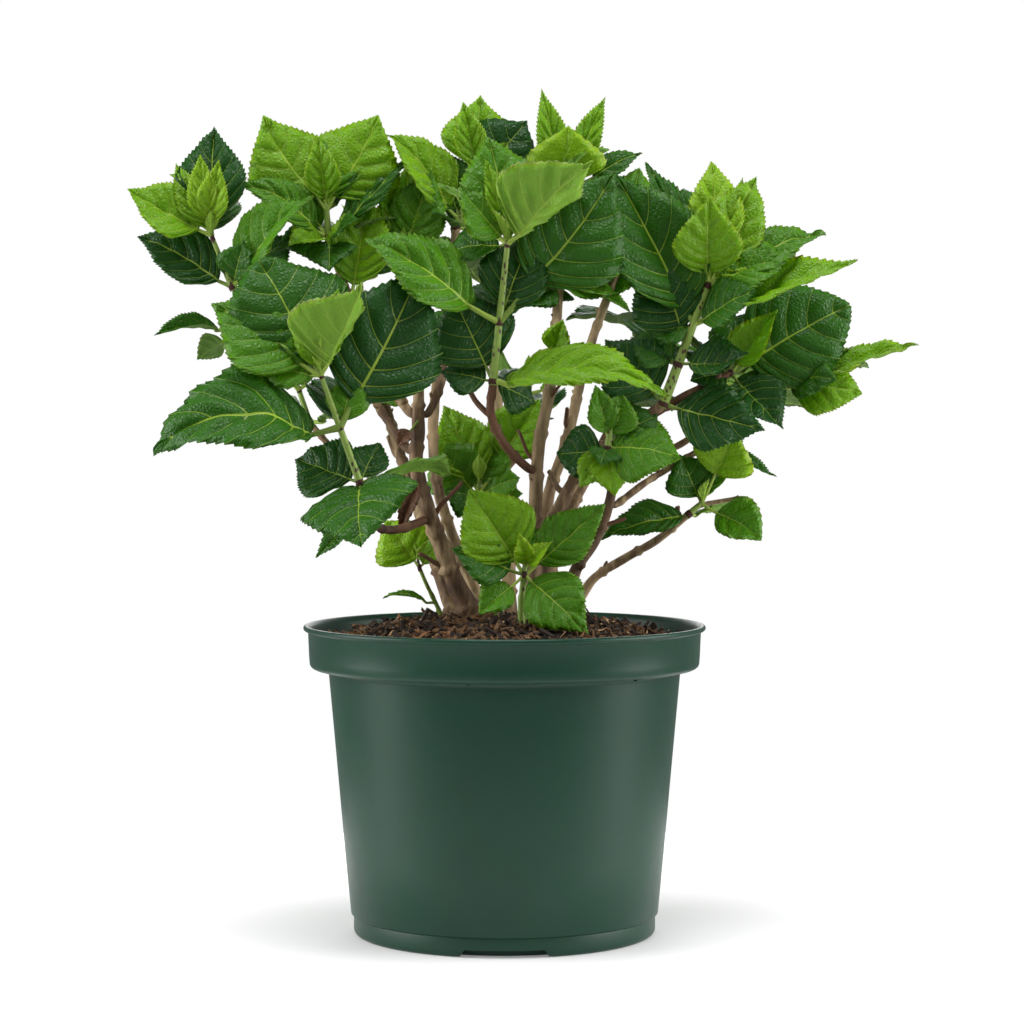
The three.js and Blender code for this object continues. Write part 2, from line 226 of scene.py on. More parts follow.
def bark_chip_material(name, colour):
    material, tree, shader = new_material(name, colour, 0.9)
    place = object_place(tree, (1, 1, 1))
    grain = noise_value(tree, place, 420, 5, 0.7)
    tint = ramp(tree, grain, [(0.3, scaled(colour, 0.5)), (0.7, scaled(colour, 1.35))])
    tree.links.new(tint, shader.inputs["Base Color"])
    add_bump(tree, shader, grain, 0.6, 0.001)
    return material


STREAK = 0.16            # how much the streaks of the bark are drawn out along Z
PATCH_SHARE = 0.55       # part of the bark's colour that comes from broad patches, the rest from streaks


def bark_material(name, furrow, body, strip):
    """Bark with long streaks that run up the canes."""
    material, tree, shader = new_material(name, body, 0.78)
    streaks = noise_value(tree, object_place(tree, (1, 1, STREAK)), 170, 6, 0.62)
    patches = noise_value(tree, object_place(tree, (1, 1, 0.6)), 26, 4, 0.6)
    mixed = tree.nodes.new("ShaderNodeMath")
    mixed.operation = "MULTIPLY_ADD"
    mixed.inputs[1].default_value = PATCH_SHARE
    tree.links.new(patches, mixed.inputs[0])
    rest = tree.nodes.new("ShaderNodeMath")
    rest.operation = "MULTIPLY"
    rest.inputs[1].default_value = 1 - PATCH_SHARE
    tree.links.new(streaks, rest.inputs[0])
    tree.links.new(rest.outputs[0], mixed.inputs[2])
    tint = ramp(tree, mixed.outputs[0], [(0.38, furrow), (0.5, body), (0.62, strip)])
    tree.links.new(tint, shader.inputs["Base Color"])
    add_bump(tree, shader, streaks, 0.45, 0.0012)
    return material


def shoot_material(name, green, purple):
    """Young green stem with small dark spots."""
    material, tree, shader = new_material(name, green, 0.45)
    spots = tree.nodes.new("ShaderNodeTexVoronoi")
    spots.inputs["Scale"].default_value = 300
    tree.links.new(object_place(tree, (1, 1, 0.55)), spots.inputs["Vector"])
    tint = ramp(tree, spots.outputs["Distance"], [(0.24, purple), (0.3, green), (1.0, scaled(green, 1.15))])
    tree.links.new(tint, shader.inputs["Base Color"])
    shader.inputs["Subsurface Weight"].default_value = 0.1
    shader.inputs["Subsurface Scale"].default_value = 0.002
    return material


def leaf_material(name, colour, roughness, bump, glow):
    """One plain leaf colour with the fine net of veins and a faint gloss."""
    material, tree, shader = new_material(name, colour, roughness)
    place = object_place(tree, (1, 1, 1))
    net = tree.nodes.new("ShaderNodeTexVoronoi")
    net.feature = "DISTANCE_TO_EDGE"
    net.inputs["Scale"].default_value = 330
    tree.links.new(place, net.inputs["Vector"])
    add_bump(tree, shader, net.outputs["Distance"], bump, 0.0022)
    shader.inputs["Specular IOR Level"].default_value = 0.24
    shader.inputs["Subsurface Weight"].default_value = glow
    shader.inputs["Subsurface Radius"].default_value = (0.6, 1.0, 0.2)
    shader.inputs["Subsurface Scale"].default_value = 0.0016
    return material


# ---------------------------------------------------------------- mesh helpers

def finish_piece(piece, slot, *nodes):
    """The piece rides on the plant's one body and stands for its frame nodes."""
    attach(piece, ROOT)
    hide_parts(*nodes)


def link_object(name, data):
    made = bpy.data.objects.new(name, data)
    bpy.context.scene.collection.objects.link(made)
    return made


def spun(outline, steps):
    """A closed shape from (radius, height) points turned about the upright axis."""
    shape = bmesh.new()
    verts = [shape.verts.new((x, 0, z)) for x, z in outline]
    edges = [shape.edges.new(pair) for pair in zip(verts, verts[1:])]
    bmesh.ops.spin(shape, geom=verts + edges, cent=(0, 0, 0), axis=(0, 0, 1), dvec=(0, 0, 0),
                   angle=2 * math.pi, steps=steps, use_merge=True, use_duplicate=False)
    bmesh.ops.remove_doubles(shape, verts=shape.verts, dist=1e-6)
    bmesh.ops.recalc_face_normals(shape, faces=shape.faces)
    return shape


def object_from_bmesh(name, shape, materials, smooth=True):
    mesh = bpy.data.meshes.new(name)
    shape.to_mesh(mesh)
    shape.free()
    for material in materials:
        mesh.materials.append(material)
    mesh.polygons.foreach_set("use_smooth", [smooth] * len(mesh.polygons))
    return link_object(name, mesh)


class Sheaf:
    """Many small shapes gathered from arrays into one mesh."""

    def __init__(self):
        self.points = []
        self.faces = []
        self.slots = []
        self.count = 0

    def add(self, points, faces, slots):
        self.points.append(points)
        self.faces.append(faces + self.count)
        self.slots.append(slots)
        self.count += len(points)

    def build(self, name, materials, smooth=True):
        points = np.concatenate(self.points)
        faces = np.concatenate(self.faces)
        slots = np.concatenate(self.slots)
        mesh = bpy.data.meshes.new(name)
        mesh.vertices.add(len(points))
        mesh.vertices.foreach_set("co", points.astype(np.float32).ravel())
        sides = faces.shape[1]
        mesh.loops.add(faces.size)
        mesh.loops.foreach_set("vertex_index", faces.astype(np.int32).ravel())
        mesh.polygons.add(len(faces))
        mesh.polygons.foreach_set("loop_start", np.arange(0, faces.size, sides, dtype=np.int32))
        mesh.polygons.foreach_set("material_index", slots.astype(np.int32))
        mesh.polygons.foreach_set("use_smooth", [smooth] * len(faces))
        for material in materials:
            mesh.materials.append(material)
        mesh.update(calc_edges=True)
        mesh.validate()
        return link_object(name, mesh)


# ---------------------------------------------------------------- routes read from the frame

def walk_levels(start):
    """The vertices of a closed tube in steps outward from one of them."""
    seen = {start}
    levels = [[start]]
    while levels[-1]:
        step = {edge.other_vert(v) for v in levels[-1] for edge in v.link_edges} - seen
        seen |= step
        levels.append(list(step))
    return levels[:-1]


def centreline(node):
    """(centres, radii) of a limb of the frame, from its thick end to its thin end, in metres."""
    shape = bmesh.new()
    shape.from_mesh(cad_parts[node].data)
    bmesh.ops.remove_doubles(shape, verts=shape.verts, dist=1e-6)
    for vertex in shape.verts:
        levels = walk_levels(vertex)
        inner = {len(level) for level in levels[1:-1]}
        if len(levels[-1]) == 1 and len(inner) == 1:
            break
    else:
        raise RuntimeError(f"{node} has no ring at its end")
    centres = []
    radii = []
    for level in levels[1:-1]:
        ring = np.array([v.co for v in level])
        centre = ring.mean(axis=0)
        centres.append(centre)
        radii.append(np.linalg.norm(ring - centre, axis=1).mean())
    shape.free()
    if radii[0] < radii[-1]:
        centres.reverse()
        radii.reverse()
    return np.array(centres), np.array(radii)


def smooth_route(centres, radii, spacing):
    """The route again, on a smooth curve with a point at every spacing."""
    count = len(centres)
    if count < 3:
        raise RuntimeError("a route needs three points")
    padded = np.vstack([2 * centres[0] - centres[1], centres, 2 * centres[-1] - centres[-2]])
    length = np.linalg.norm(np.diff(centres, axis=0), axis=1).sum()
    steps = max(4, int(round(length / spacing)))
    fine = []
    widths = []
    for value in np.linspace(0, count - 1, steps + 1):
        index = min(int(value), count - 2)
        t = value - index
        p0, p1, p2, p3 = padded[index:index + 4]
        fine.append(0.5 * (2 * p1 + (p2 - p0) * t + (2 * p0 - 5 * p1 + 4 * p2 - p3) * t * t
                           + (3 * p1 - p0 - 3 * p2 + p3) * t ** 3))
        widths.append(radii[index] + (radii[index + 1] - radii[index]) * t)
    return np.array(fine), np.array(widths)


def unit(vector):
    return vector / max(np.linalg.norm(vector), 1e-12)


def route_frames(points):
    """Tangents and two cross directions carried along a route without twist."""
    tangents = np.gradient(points, axis=0)
    tangents /= np.linalg.norm(tangents, axis=1)[:, None]
    side = unit(np.cross(tangents[0], (0.31, -0.95, 0.05)))
    sides = []
    for tangent in tangents:
        side = unit(side - tangent * side.dot(tangent))
        sides.append(side)
    sides = np.array(sides)
    return tangents, sides, np.cross(tangents, sides)


# ---------------------------------------------------------------- pot

def arc(centre, radius, first, last, steps):
    """Points of an arc in the profile plane; angles in degrees from straight out."""
    angles = np.radians(np.linspace(first, last, steps + 1))
    return [(centre[0] + radius * math.cos(a), centre[1] + radius * math.sin(a)) for a in angles]


BAND_IN = 3 * MM         # the band, the wall and the foot stand this far inside the lip
WALL_TOP_IN = 18 * MM
WALL_FOOT_IN = 34 * MM
FOOT_IN = 36 * MM
LIP_BEAD = 2 * MM        # radius of the rolled bead on the lip
FLOOR_TOP = 8 * MM       # top of the pot's floor
DRAIN_DEPTH = 12 * MM    # how far a drain relief runs in under the foot
DRAIN_SLOPE = 3.5 * MM   # run-out at each side of a drain relief
DRAIN_TURNS = (-90, 30, 150)
POT_STEPS = 192          # faces round the pot
LUGS = 16                # stops under the band
LUG_SIZE = (2.2 * MM, 1.4 * MM, 2.4 * MM)
LUG_IN = 16.6 * MM       # how far their middles stand inside the lip, and below the band
LUG_DROP = 0.8 * MM


def pot_outline(settings):
    """The pot's section from the axis under the floor, up the outside, over the lip and down inside."""
    lip = POT_HIGH.x
    top = POT_HIGH.z
    wall = settings.wall
    band = lip - BAND_IN
    band_foot = top - settings.band_depth
    wall_top = lip - WALL_TOP_IN
    wall_foot = lip - WALL_FOOT_IN
    foot = lip - FOOT_IN
    step = settings.foot_height
    bead = LIP_BEAD
    floor_top = FLOOR_TOP
    drain_inner = foot - DRAIN_DEPTH
    outline = [(0, 0), (drain_inner, 0), (drain_inner + 0.4 * MM, 0), (foot - 6 * MM, 0)]
    outline += arc((foot - 4 * MM, 4 * MM), 4 * MM, -90, 0, 6)
    outline += [(foot, step - 1 * MM)]
    outline += arc((foot + 0.8 * MM, step), 1.2 * MM, 180, 90, 3)[1:]
    outline += [(wall_foot, step + 2.4 * MM)]
    for share in (0.25, 0.5, 0.75):
        outline.append((wall_foot + (wall_top - wall_foot) * share, step + (band_foot - step) * share))
    outline += [(wall_top - 0.3 * MM, band_foot - 4 * MM), (wall_top, band_foot - 1.2 * MM)]
    outline += [(wall_top + 1.2 * MM, band_foot)]
    outline += arc((band - 5.5 * MM, band_foot + 4 * MM), 4 * MM, -90, -10, 5)
    outline += [(band - 1.2 * MM, band_foot + 8 * MM), (band - 0.4 * MM, top - 2.4 * bead)]
    outline += [(band, top - 2.05 * bead)]
    outline += arc((lip - bead, top - bead), bead, -60, 130, 12)
    inner_band = band - wall - 0.6 * MM
    outline += [(inner_band, top - 2.2 * bead), (inner_band - 1.2 * MM, band_foot + wall + 2 * MM)]
    outline += [(inner_band - 3 * MM, band_foot + wall), (wall_top - wall, band_foot + wall - 1 * MM)]
    outline += [(wall_top - wall - 0.4 * MM, band_foot - 3 * MM), (wall_foot - wall, floor_top + 2 * MM)]
    outline += [(wall_foot - wall - 2 * MM, floor_top), (0, floor_top)]
    return outline, drain_inner


def relieve_drains(shape, settings, drain_inner):
    """Lifts the foot's edge in front and at two places behind, so that water runs out."""
    half = settings.drain_width / 2
    turns = [math.radians(turn) for turn in DRAIN_TURNS]
    for vertex in shape.verts:
        radius = math.hypot(vertex.co.x, vertex.co.y)
        if radius < drain_inner + 0.2 * MM or vertex.co.z > settings.drain_height:
            continue
        across = min(abs(vertex.co.x * math.sin(turn) - vertex.co.y * math.cos(turn))
                     for turn in turns if vertex.co.x * math.cos(turn) + vertex.co.y * math.sin(turn) > 0)
        share = min(1.0, max(0.0, (half + DRAIN_SLOPE - across) / DRAIN_SLOPE))
        share = share * share * (3 - 2 * share)
        lift = settings.drain_height * share
        vertex.co.z = max(vertex.co.z, lift)


def add_lip_lugs(shape, settings):
    """Small moulded stops under the band, evenly spaced round the pot."""
    radius = POT_HIGH.x - LUG_IN
    height = POT_HIGH.z - settings.band_depth - LUG_DROP
    for index in range(LUGS):
        turn = 2 * math.pi * (index + 0.5) / LUGS
        lug = bmesh.ops.create_cube(shape, size=1)
        bmesh.ops.scale(shape, vec=LUG_SIZE, verts=lug["verts"])
        bmesh.ops.translate(shape, vec=(radius, 0, height), verts=lug["verts"])
        edges = list({edge for v in lug["verts"] for edge in v.link_edges})
        bmesh.ops.bevel(shape, geom=edges, offset=0.35 * MM, offset_type="OFFSET", segments=2, profile=0.5,
                        affect="EDGES", material=-1, clamp_overlap=True)
        fresh = [v for v in shape.verts if not v.tag]
        bmesh.ops.rotate(shape, cent=(0, 0, 0), matrix=Matrix.Rotation(turn, 3, "Z"), verts=fresh)
        for vertex in fresh:
            vertex.tag = True


class HYDRANGEA_OT_pot(bpy.types.Operator):
    """Spins the nursery pot's section and relieves its drains"""
    bl_idname = "hydrangea.pot"
    bl_label = "Pot"

    def execute(self, context):
        settings = context.scene.hydrangea_pot
        outline, drain_inner = pot_outline(settings)
        shape = spun(outline, POT_STEPS)
        relieve_drains(shape, settings, drain_inner)
        for vertex in shape.verts:
            vertex.tag = True
        add_lip_lugs(shape, settings)
        piece = object_from_bmesh("nursery_pot", shape, [pot_material(tuple(settings.colour))])
        piece.data.set_sharp_from_angle(angle=math.radians(50))
        finish_piece(piece, "pot", "pot")
        return {"FINISHED"}


# ---------------------------------------------------------------- bark mix

CROWN_FALL = 17 * MM     # how far the bark mix falls from its middle to its edge
CROWN_FLAT = 0.4         # share of its radius that is level
BED_RINGS = 46           # rings of faces on its surface
BED_STEPS = 120          # faces round it


def soil_height(x, y):
    """Height of the uneven bark surface at a place inside the pot."""
    radius = math.hypot(x, y)
    edge = SOIL_HIGH.x
    crown = SOIL_HIGH.z
    rim = crown - CROWN_FALL
    share = min(1.0, max(0.0, (radius - CROWN_FLAT * edge) / ((1 - CROWN_FLAT) * edge)))
    lumps = noise.noise(Vector((x, y, 0)) * 60) * 2.4 * MM + noise.noise(Vector((x, y, 1)) * 190) * 1.5 * MM
    return crown - (crown - rim) * share ** 1.4 + lumps - 1.5 * MM


CHIP_SHARES = (0.44, 0.34, 0.09, 0.13)    # wet, brown and red chips, and slivers
SLIVER = 3


def chip_shapes(rng, count):
    """Splinters of bark: stretched six-sided slips with ragged ends, laid about on the surface."""
    sheaf = Sheaf()
    faces = np.array([[0, 1, 2, 3], [4, 7, 6, 5], [0, 4, 5, 1], [1, 5, 6, 2], [2, 6, 7, 3], [3, 7, 4, 0]])
    corners = np.array([[-1, -1, -1], [-1, 1, -1], [1, 1, -1], [1, -1, -1],
                        [-1, -1, 1], [-1, 1, 1], [1, 1, 1], [1, -1, 1]], float)
    limit = SOIL_HIGH.x - 3 * MM
    for _ in range(count):
        radius = limit * math.sqrt(rng.random())
        turn = rng.random() * 2 * math.pi
        x, y = radius * math.cos(turn), radius * math.sin(turn)
        long = min(10.0, rng.gamma(1.7, 1.8) + 1.0) * MM
        wide = min(0.6 * long, (0.8 + 2.2 * rng.random()) * MM)
        thick = (0.4 + 1.1 * rng.random()) * MM
        kind = rng.choice(4, p=CHIP_SHARES)
        if kind == SLIVER:
            wide *= 0.35
            thick *= 0.5
        points = corners * (long, wide, thick)
        points[:, 1] *= 1 - 0.75 * rng.random(8)
        points[:, 0] *= 1 - 0.5 * rng.random(8)
        spin = rng.random() * 2 * math.pi
        tilt = rng.normal(0, 0.35)
        bank = rng.normal(0, 0.5)
        points = turn_points(points, spin, tilt, bank)
        lift = soil_height(x, y) + 0.6 * thick + abs(math.sin(tilt)) * long * 0.4
        reach = math.hypot(x, y) + long
        if reach > limit:
            x, y = x * (limit - long) / radius, y * (limit - long) / radius
        sheaf.add(points + (x, y, lift), faces, np.full(6, kind))
    return sheaf


def turn_points(points, spin, tilt, bank):
    """Points turned by bank about X, tilt about Y and spin about Z."""
    cs, ss = math.cos(spin), math.sin(spin)
    ct, st = math.cos(tilt), math.sin(tilt)
    cb, sb = math.cos(bank), math.sin(bank)
    about_x = np.array([[1, 0, 0], [0, cb, -sb], [0, sb, cb]])
    about_y = np.array([[ct, 0, st], [0, 1, 0], [-st, 0, ct]])
    about_z = np.array([[cs, -ss, 0], [ss, cs, 0], [0, 0, 1]])
    return points @ (about_z @ about_y @ about_x).T


class HYDRANGEA_OT_soil(bpy.types.Operator):
    """Fills the pot with an uneven bark mix and scatters chips over it"""
    bl_idname = "hydrangea.soil"
    bl_label = "Bark mix"

    def execute(self, context):
        settings = context.scene.hydrangea_soil
        rng = np.random.default_rng(settings.seed)
        colours = [tuple(settings.dark), tuple(settings.brown), tuple(settings.red), tuple(settings.tan)]
        names = ("bark_wet", "bark_brown", "bark_red", "bark_sliver")
        materials = [bark_chip_material(name, colour) for name, colour in zip(names, colours)]
        edge = SOIL_HIGH.x
        floor_edge = edge - 32 * MM
        outline = [(edge * index / BED_RINGS, SOIL_HIGH.z) for index in range(BED_RINGS + 1)]
        outline += [(edge - 3 * MM, SOIL_HIGH.z - 26 * MM), (edge - 18 * MM, SOIL_HIGH.z - 30 * MM)]
        outline += [(floor_edge, SOIL_LOW.z + 6 * MM), (0, SOIL_LOW.z + 6 * MM)]
        shape = spun(outline, BED_STEPS)
        for vertex in shape.verts:
            if vertex.co.z > SOIL_HIGH.z - 1 * MM:
                vertex.co.z = soil_height(vertex.co.x, vertex.co.y)
        bed = object_from_bmesh("bark_mix", shape, materials[:1])
        finish_piece(bed, "soil", "soil")
        chips = chip_shapes(rng, settings.chips).build("bark_chips", materials, smooth=False)
        finish_piece(chips, "soil")
        return {"FINISHED"}


# ---------------------------------------------------------------- canes and boughs

CANE_BASE = 0.88         # the cane between two joints, as a share of its radius in the frame
JOINT_SWELL = 0.3        # how much a joint stands out, and over what length
JOINT_LENGTH = 1.5 * MM
NECK_DEPTH = 0.07        # the waist above a joint, how far above it and over what length
NECK_PLACE = 3.4 * MM
NECK_LENGTH = 1.6 * MM


def joint_swell(near):
    """A cane's width at a distance from its nearest joint, as a share of its radius in the frame."""
    joint = JOINT_SWELL * math.exp(-(near / JOINT_LENGTH) ** 2)
    neck = NECK_DEPTH * math.exp(-((near - NECK_PLACE) / NECK_LENGTH) ** 2)
    return CANE_BASE + joint - neck


def ridged_tube(points, radii, sides, rng, node_spacing, roughness):
    """A limb as rings of a bmesh drawn along its route, with furrows, lumps and swollen joints."""
    _, across, upward = route_frames(points)
    shape = bmesh.new()
    phase = rng.random() * 50
    along = np.concatenate([[0], np.cumsum(np.linalg.norm(np.diff(points, axis=0), axis=1))])
    first_node = node_spacing * (0.4 + 0.5 * rng.random())
    rings = []
    angles = np.linspace(0, 2 * math.pi, sides, endpoint=False)
    for i, point in enumerate(points):
        near = ((along[i] - first_node + node_spacing / 2) % node_spacing) - node_spacing / 2
        swell = joint_swell(near)
        ring = []
        for angle in angles:
            c, s = math.cos(angle), math.sin(angle)
            furrow = noise.noise(Vector((c * 2.6, s * 2.6, along[i] * 34 + phase)))
            lump = noise.noise(Vector((c * 1.1 + 9, s * 1.1, along[i] * 75 + phase)))
            radius = radii[i] * swell * (1 + roughness * (0.16 * furrow + 0.14 * lump))
            ring.append(shape.verts.new(point + radius * (c * across[i] + s * upward[i])))
        rings.append(ring)
    for low, high in zip(rings, rings[1:]):
        for k in range(sides):
            shape.faces.new((low[k], low[(k + 1) % sides], high[(k + 1) % sides], high[k]))
    shape.faces.new(list(reversed(rings[0])))
    cap = shape.faces.new(rings[-1])
    bmesh.ops.inset_individual(shape, faces=[cap], thickness=0.25 * radii[-1], depth=0.1 * radii[-1])
    bmesh.ops.recalc_face_normals(shape, faces=shape.faces)
    return shape


# Each bough grows from the cane or bough named here. A cane has none.
PARENTS = {
    "bough_left_top": "cane_left", "bough_far_left": "cane_left", "bough_left_inner": "cane_left",
    "bough_left_front": "cane_left", "bough_left_behind": "bough_far_left", "bough_tall": "cane_centre",
    "bough_inner": "bough_tall", "bough_right_outer": "cane_right", "bough_right_tip": "bough_right_outer",
    "bough_right_low": "cane_right_low", "bough_back_left": "cane_back_left", "bough_back_low": "cane_back",
    "bough_back_right": "cane_back_right",
}
# Limbs whose bark isn't the old brown one: 1 is grey-tan and 2 red-brown.
BARKS = {
    "cane_centre": 1, "cane_far_right": 1, "cane_right_inner": 1, "cane_left_back": 1, "cane_back": 1,
    "bough_left_front": 2, "bough_tall": 2, "bough_inner": 2, "bough_right_outer": 2,
}
LIMBS = sorted(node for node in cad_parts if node.startswith(("cane", "bough", "shoot")))
ROUTES = {node: centreline(node) for node in LIMBS}
FINE = 2 * MM            # spacing of the points of a route where a place on it is looked for


def rooted_route(node):
    """A limb's route, carried on into its parent or down into the bark mix."""
    centres, radii = ROUTES[node]
    if node in PARENTS:
        parent_points, _ = smooth_route(*ROUTES[PARENTS[node]], FINE)
        away = np.linalg.norm(parent_points - centres[0], axis=1)
        start = parent_points[int(away.argmin())]
        collar = radii[0] * 0.6
    else:
        start = centres[0] - (0, 0, 8 * MM)
        collar = radii[0] * 1.25
    return np.vstack([start, centres]), np.concatenate([[collar], radii])


# Cut stubs, thin twigs and dead tips: the limb, how far along it, the way to the stub's end in millimetres,
# its width at the foot in millimetres, and its bark (0 brown, 1 red-brown).
STUBS = (
    ("bough_left_top", 0.06, (-5, -6, 24), 7.5, 0), ("bough_left_top", 0.2, (4, -8, 18), 6, 0),
    ("cane_right_inner", 0.5, (-3, -6, 17), 4, 1), ("cane_far_right", 0.93, (-2, 0, 12), 5, 1),
    ("cane_far_right", 0.97, (38, -2, 18), 4.4, 0), ("cane_centre", 0.45, (15, 2, 36), 3, 1),
    ("cane_left", 0.42, (18, -6, 34), 4, 1), ("cane_left", 0.24, (-22, -8, 8), 4, 1),
    ("bough_right_low", 0.5, (-3, -6, 14), 3.4, 1), ("cane_right_low", 0.5, (18, -2, 12), 4, 1),
    ("cane_right", 0.5, (-14, -4, 16), 5, 0), ("cane_left_back", 0.62, (14, -4, 26), 3.4, 1),
    ("cane_centre", 0.36, (-16, 8, 22), 3.2, 1), ("cane_back", 0.4, (10, 8, 18), 5, 0),
    ("cane_back_left", 0.5, (-12, 10, 16), 5, 0), ("cane_back_right", 0.45, (12, 8, 18), 5, 0),
    ("bough_far_left", 0.45, (-6, -4, -14), 4, 1), ("cane_left", 0.02, (-16, -8, 26), 8, 0),
)
BUD_STEP = 62 * MM       # distance between the buds along a cane


def cane_trimmings(rng):
    """Stubs at their places, and small buds at even spacing along the canes and boughs."""
    sheaf = Sheaf()
    for limb, share, way, width, bark in STUBS:
        points, _ = smooth_route(*ROUTES[limb], FINE)
        foot = points[int(share * (len(points) - 1))]
        way = np.array(way, float) * MM
        across = np.cross(unit(way), (0.3, 0.9, 0.1)) * 0.08 * np.linalg.norm(way)
        route = np.array([foot + way * t + across * math.sin(5 * t) for t in (0, 0.3, 0.6, 0.9, 1)])
        taper = np.array([0.5, 0.46, 0.4, 0.38, 0.3]) * width * MM
        add_tube(sheaf, route, taper, 10, bark, 3)
    for limb in LIMBS:
        if limb.startswith("shoot"):
            continue
        points, radii = smooth_route(*rooted_route(limb), FINE)
        tangents, across, upward = route_frames(points)
        step = int(BUD_STEP / FINE)
        for index in range(step, len(points) - 3, step):
            turn = rng.random() * 2 * math.pi
            out = math.cos(turn) * across[index] + math.sin(turn) * upward[index]
            size = (1.2 + 1.0 * rng.random()) * MM
            foot = points[index] + out * radii[index] * 0.6
            lean = unit(out + 0.8 * tangents[index])
            route = np.array([foot, foot + lean * size, foot + lean * 2.2 * size])
            add_tube(sheaf, route, np.array([0.9, 0.8, 0.35]) * size, 8, 0, 2)
    return sheaf


class HYDRANGEA_OT_stems(bpy.types.Operator):
    """Draws the bark of every cane, bough and shoot along its route, with stubs and buds"""
    bl_idname = "hydrangea.stems"
    bl_label = "Canes and boughs"

    def execute(self, context):
        settings = context.scene.hydrangea_stems
        rng = np.random.default_rng(settings.seed)
        dark, brown, tan = tuple(settings.bark_dark), tuple(settings.bark_brown), tuple(settings.bark_tan)
        barks = [
            bark_material("bark_old_brown", dark, brown, tan),
            bark_material("bark_grey_tan", scaled(brown, 0.8), blended(brown, tan, 0.6), scaled(tan, 1.15)),
            bark_material("bark_red_brown", dark, blended(brown, linear(112, 62, 46), 0.5), brown),
        ]
        green = shoot_material("shoot_green", tuple(settings.shoot_green), tuple(settings.shoot_purple))
        for node in LIMBS:
            young = node.startswith("shoot")
            points, radii = smooth_route(*rooted_route(node), settings.spacing)
            shape = ridged_tube(points, radii, settings.sides, rng, settings.node_spacing,
                                0.35 if young else 1.0)
            bark = green if young else barks[BARKS.get(node, 0)]
            piece = object_from_bmesh(node + "_bark", shape, [bark])
            finish_piece(piece, "green_wood" if young else "old_wood", node)
        trimmings = cane_trimmings(rng).build("trimmings", [barks[0], barks[2]])
        finish_piece(trimmings, "old_wood")
        return {"FINISHED"}


# ---------------------------------------------------------------- leaves

TONES = ("deep", "dark", "mid", "fresh", "young", "brown")
KINDS = 5                # faces of a leaf that have a material each, in this order
UPPER, SIDE_VEIN, MIDRIB, UNDER, UNDER_VEIN = range(KINDS)

BLADE_START = 0.012      # the first and last rows of a blade, as shares of its length
BLADE_END = 0.992
FIRST_VEIN = 0.1         # where the first side vein meets the margin, and how far up the last does
VEIN_SPAN = 0.82
VEIN_PACE = 0.92         # below 1 the veins come closer together towards the tip
VEIN_SWEEP = 2.3         # the more, the nearer to the leaf's foot the veins leave the midrib
NOTCH = 0.3              # where a tooth's notch lies on its stretch of the margin, with its point at 1


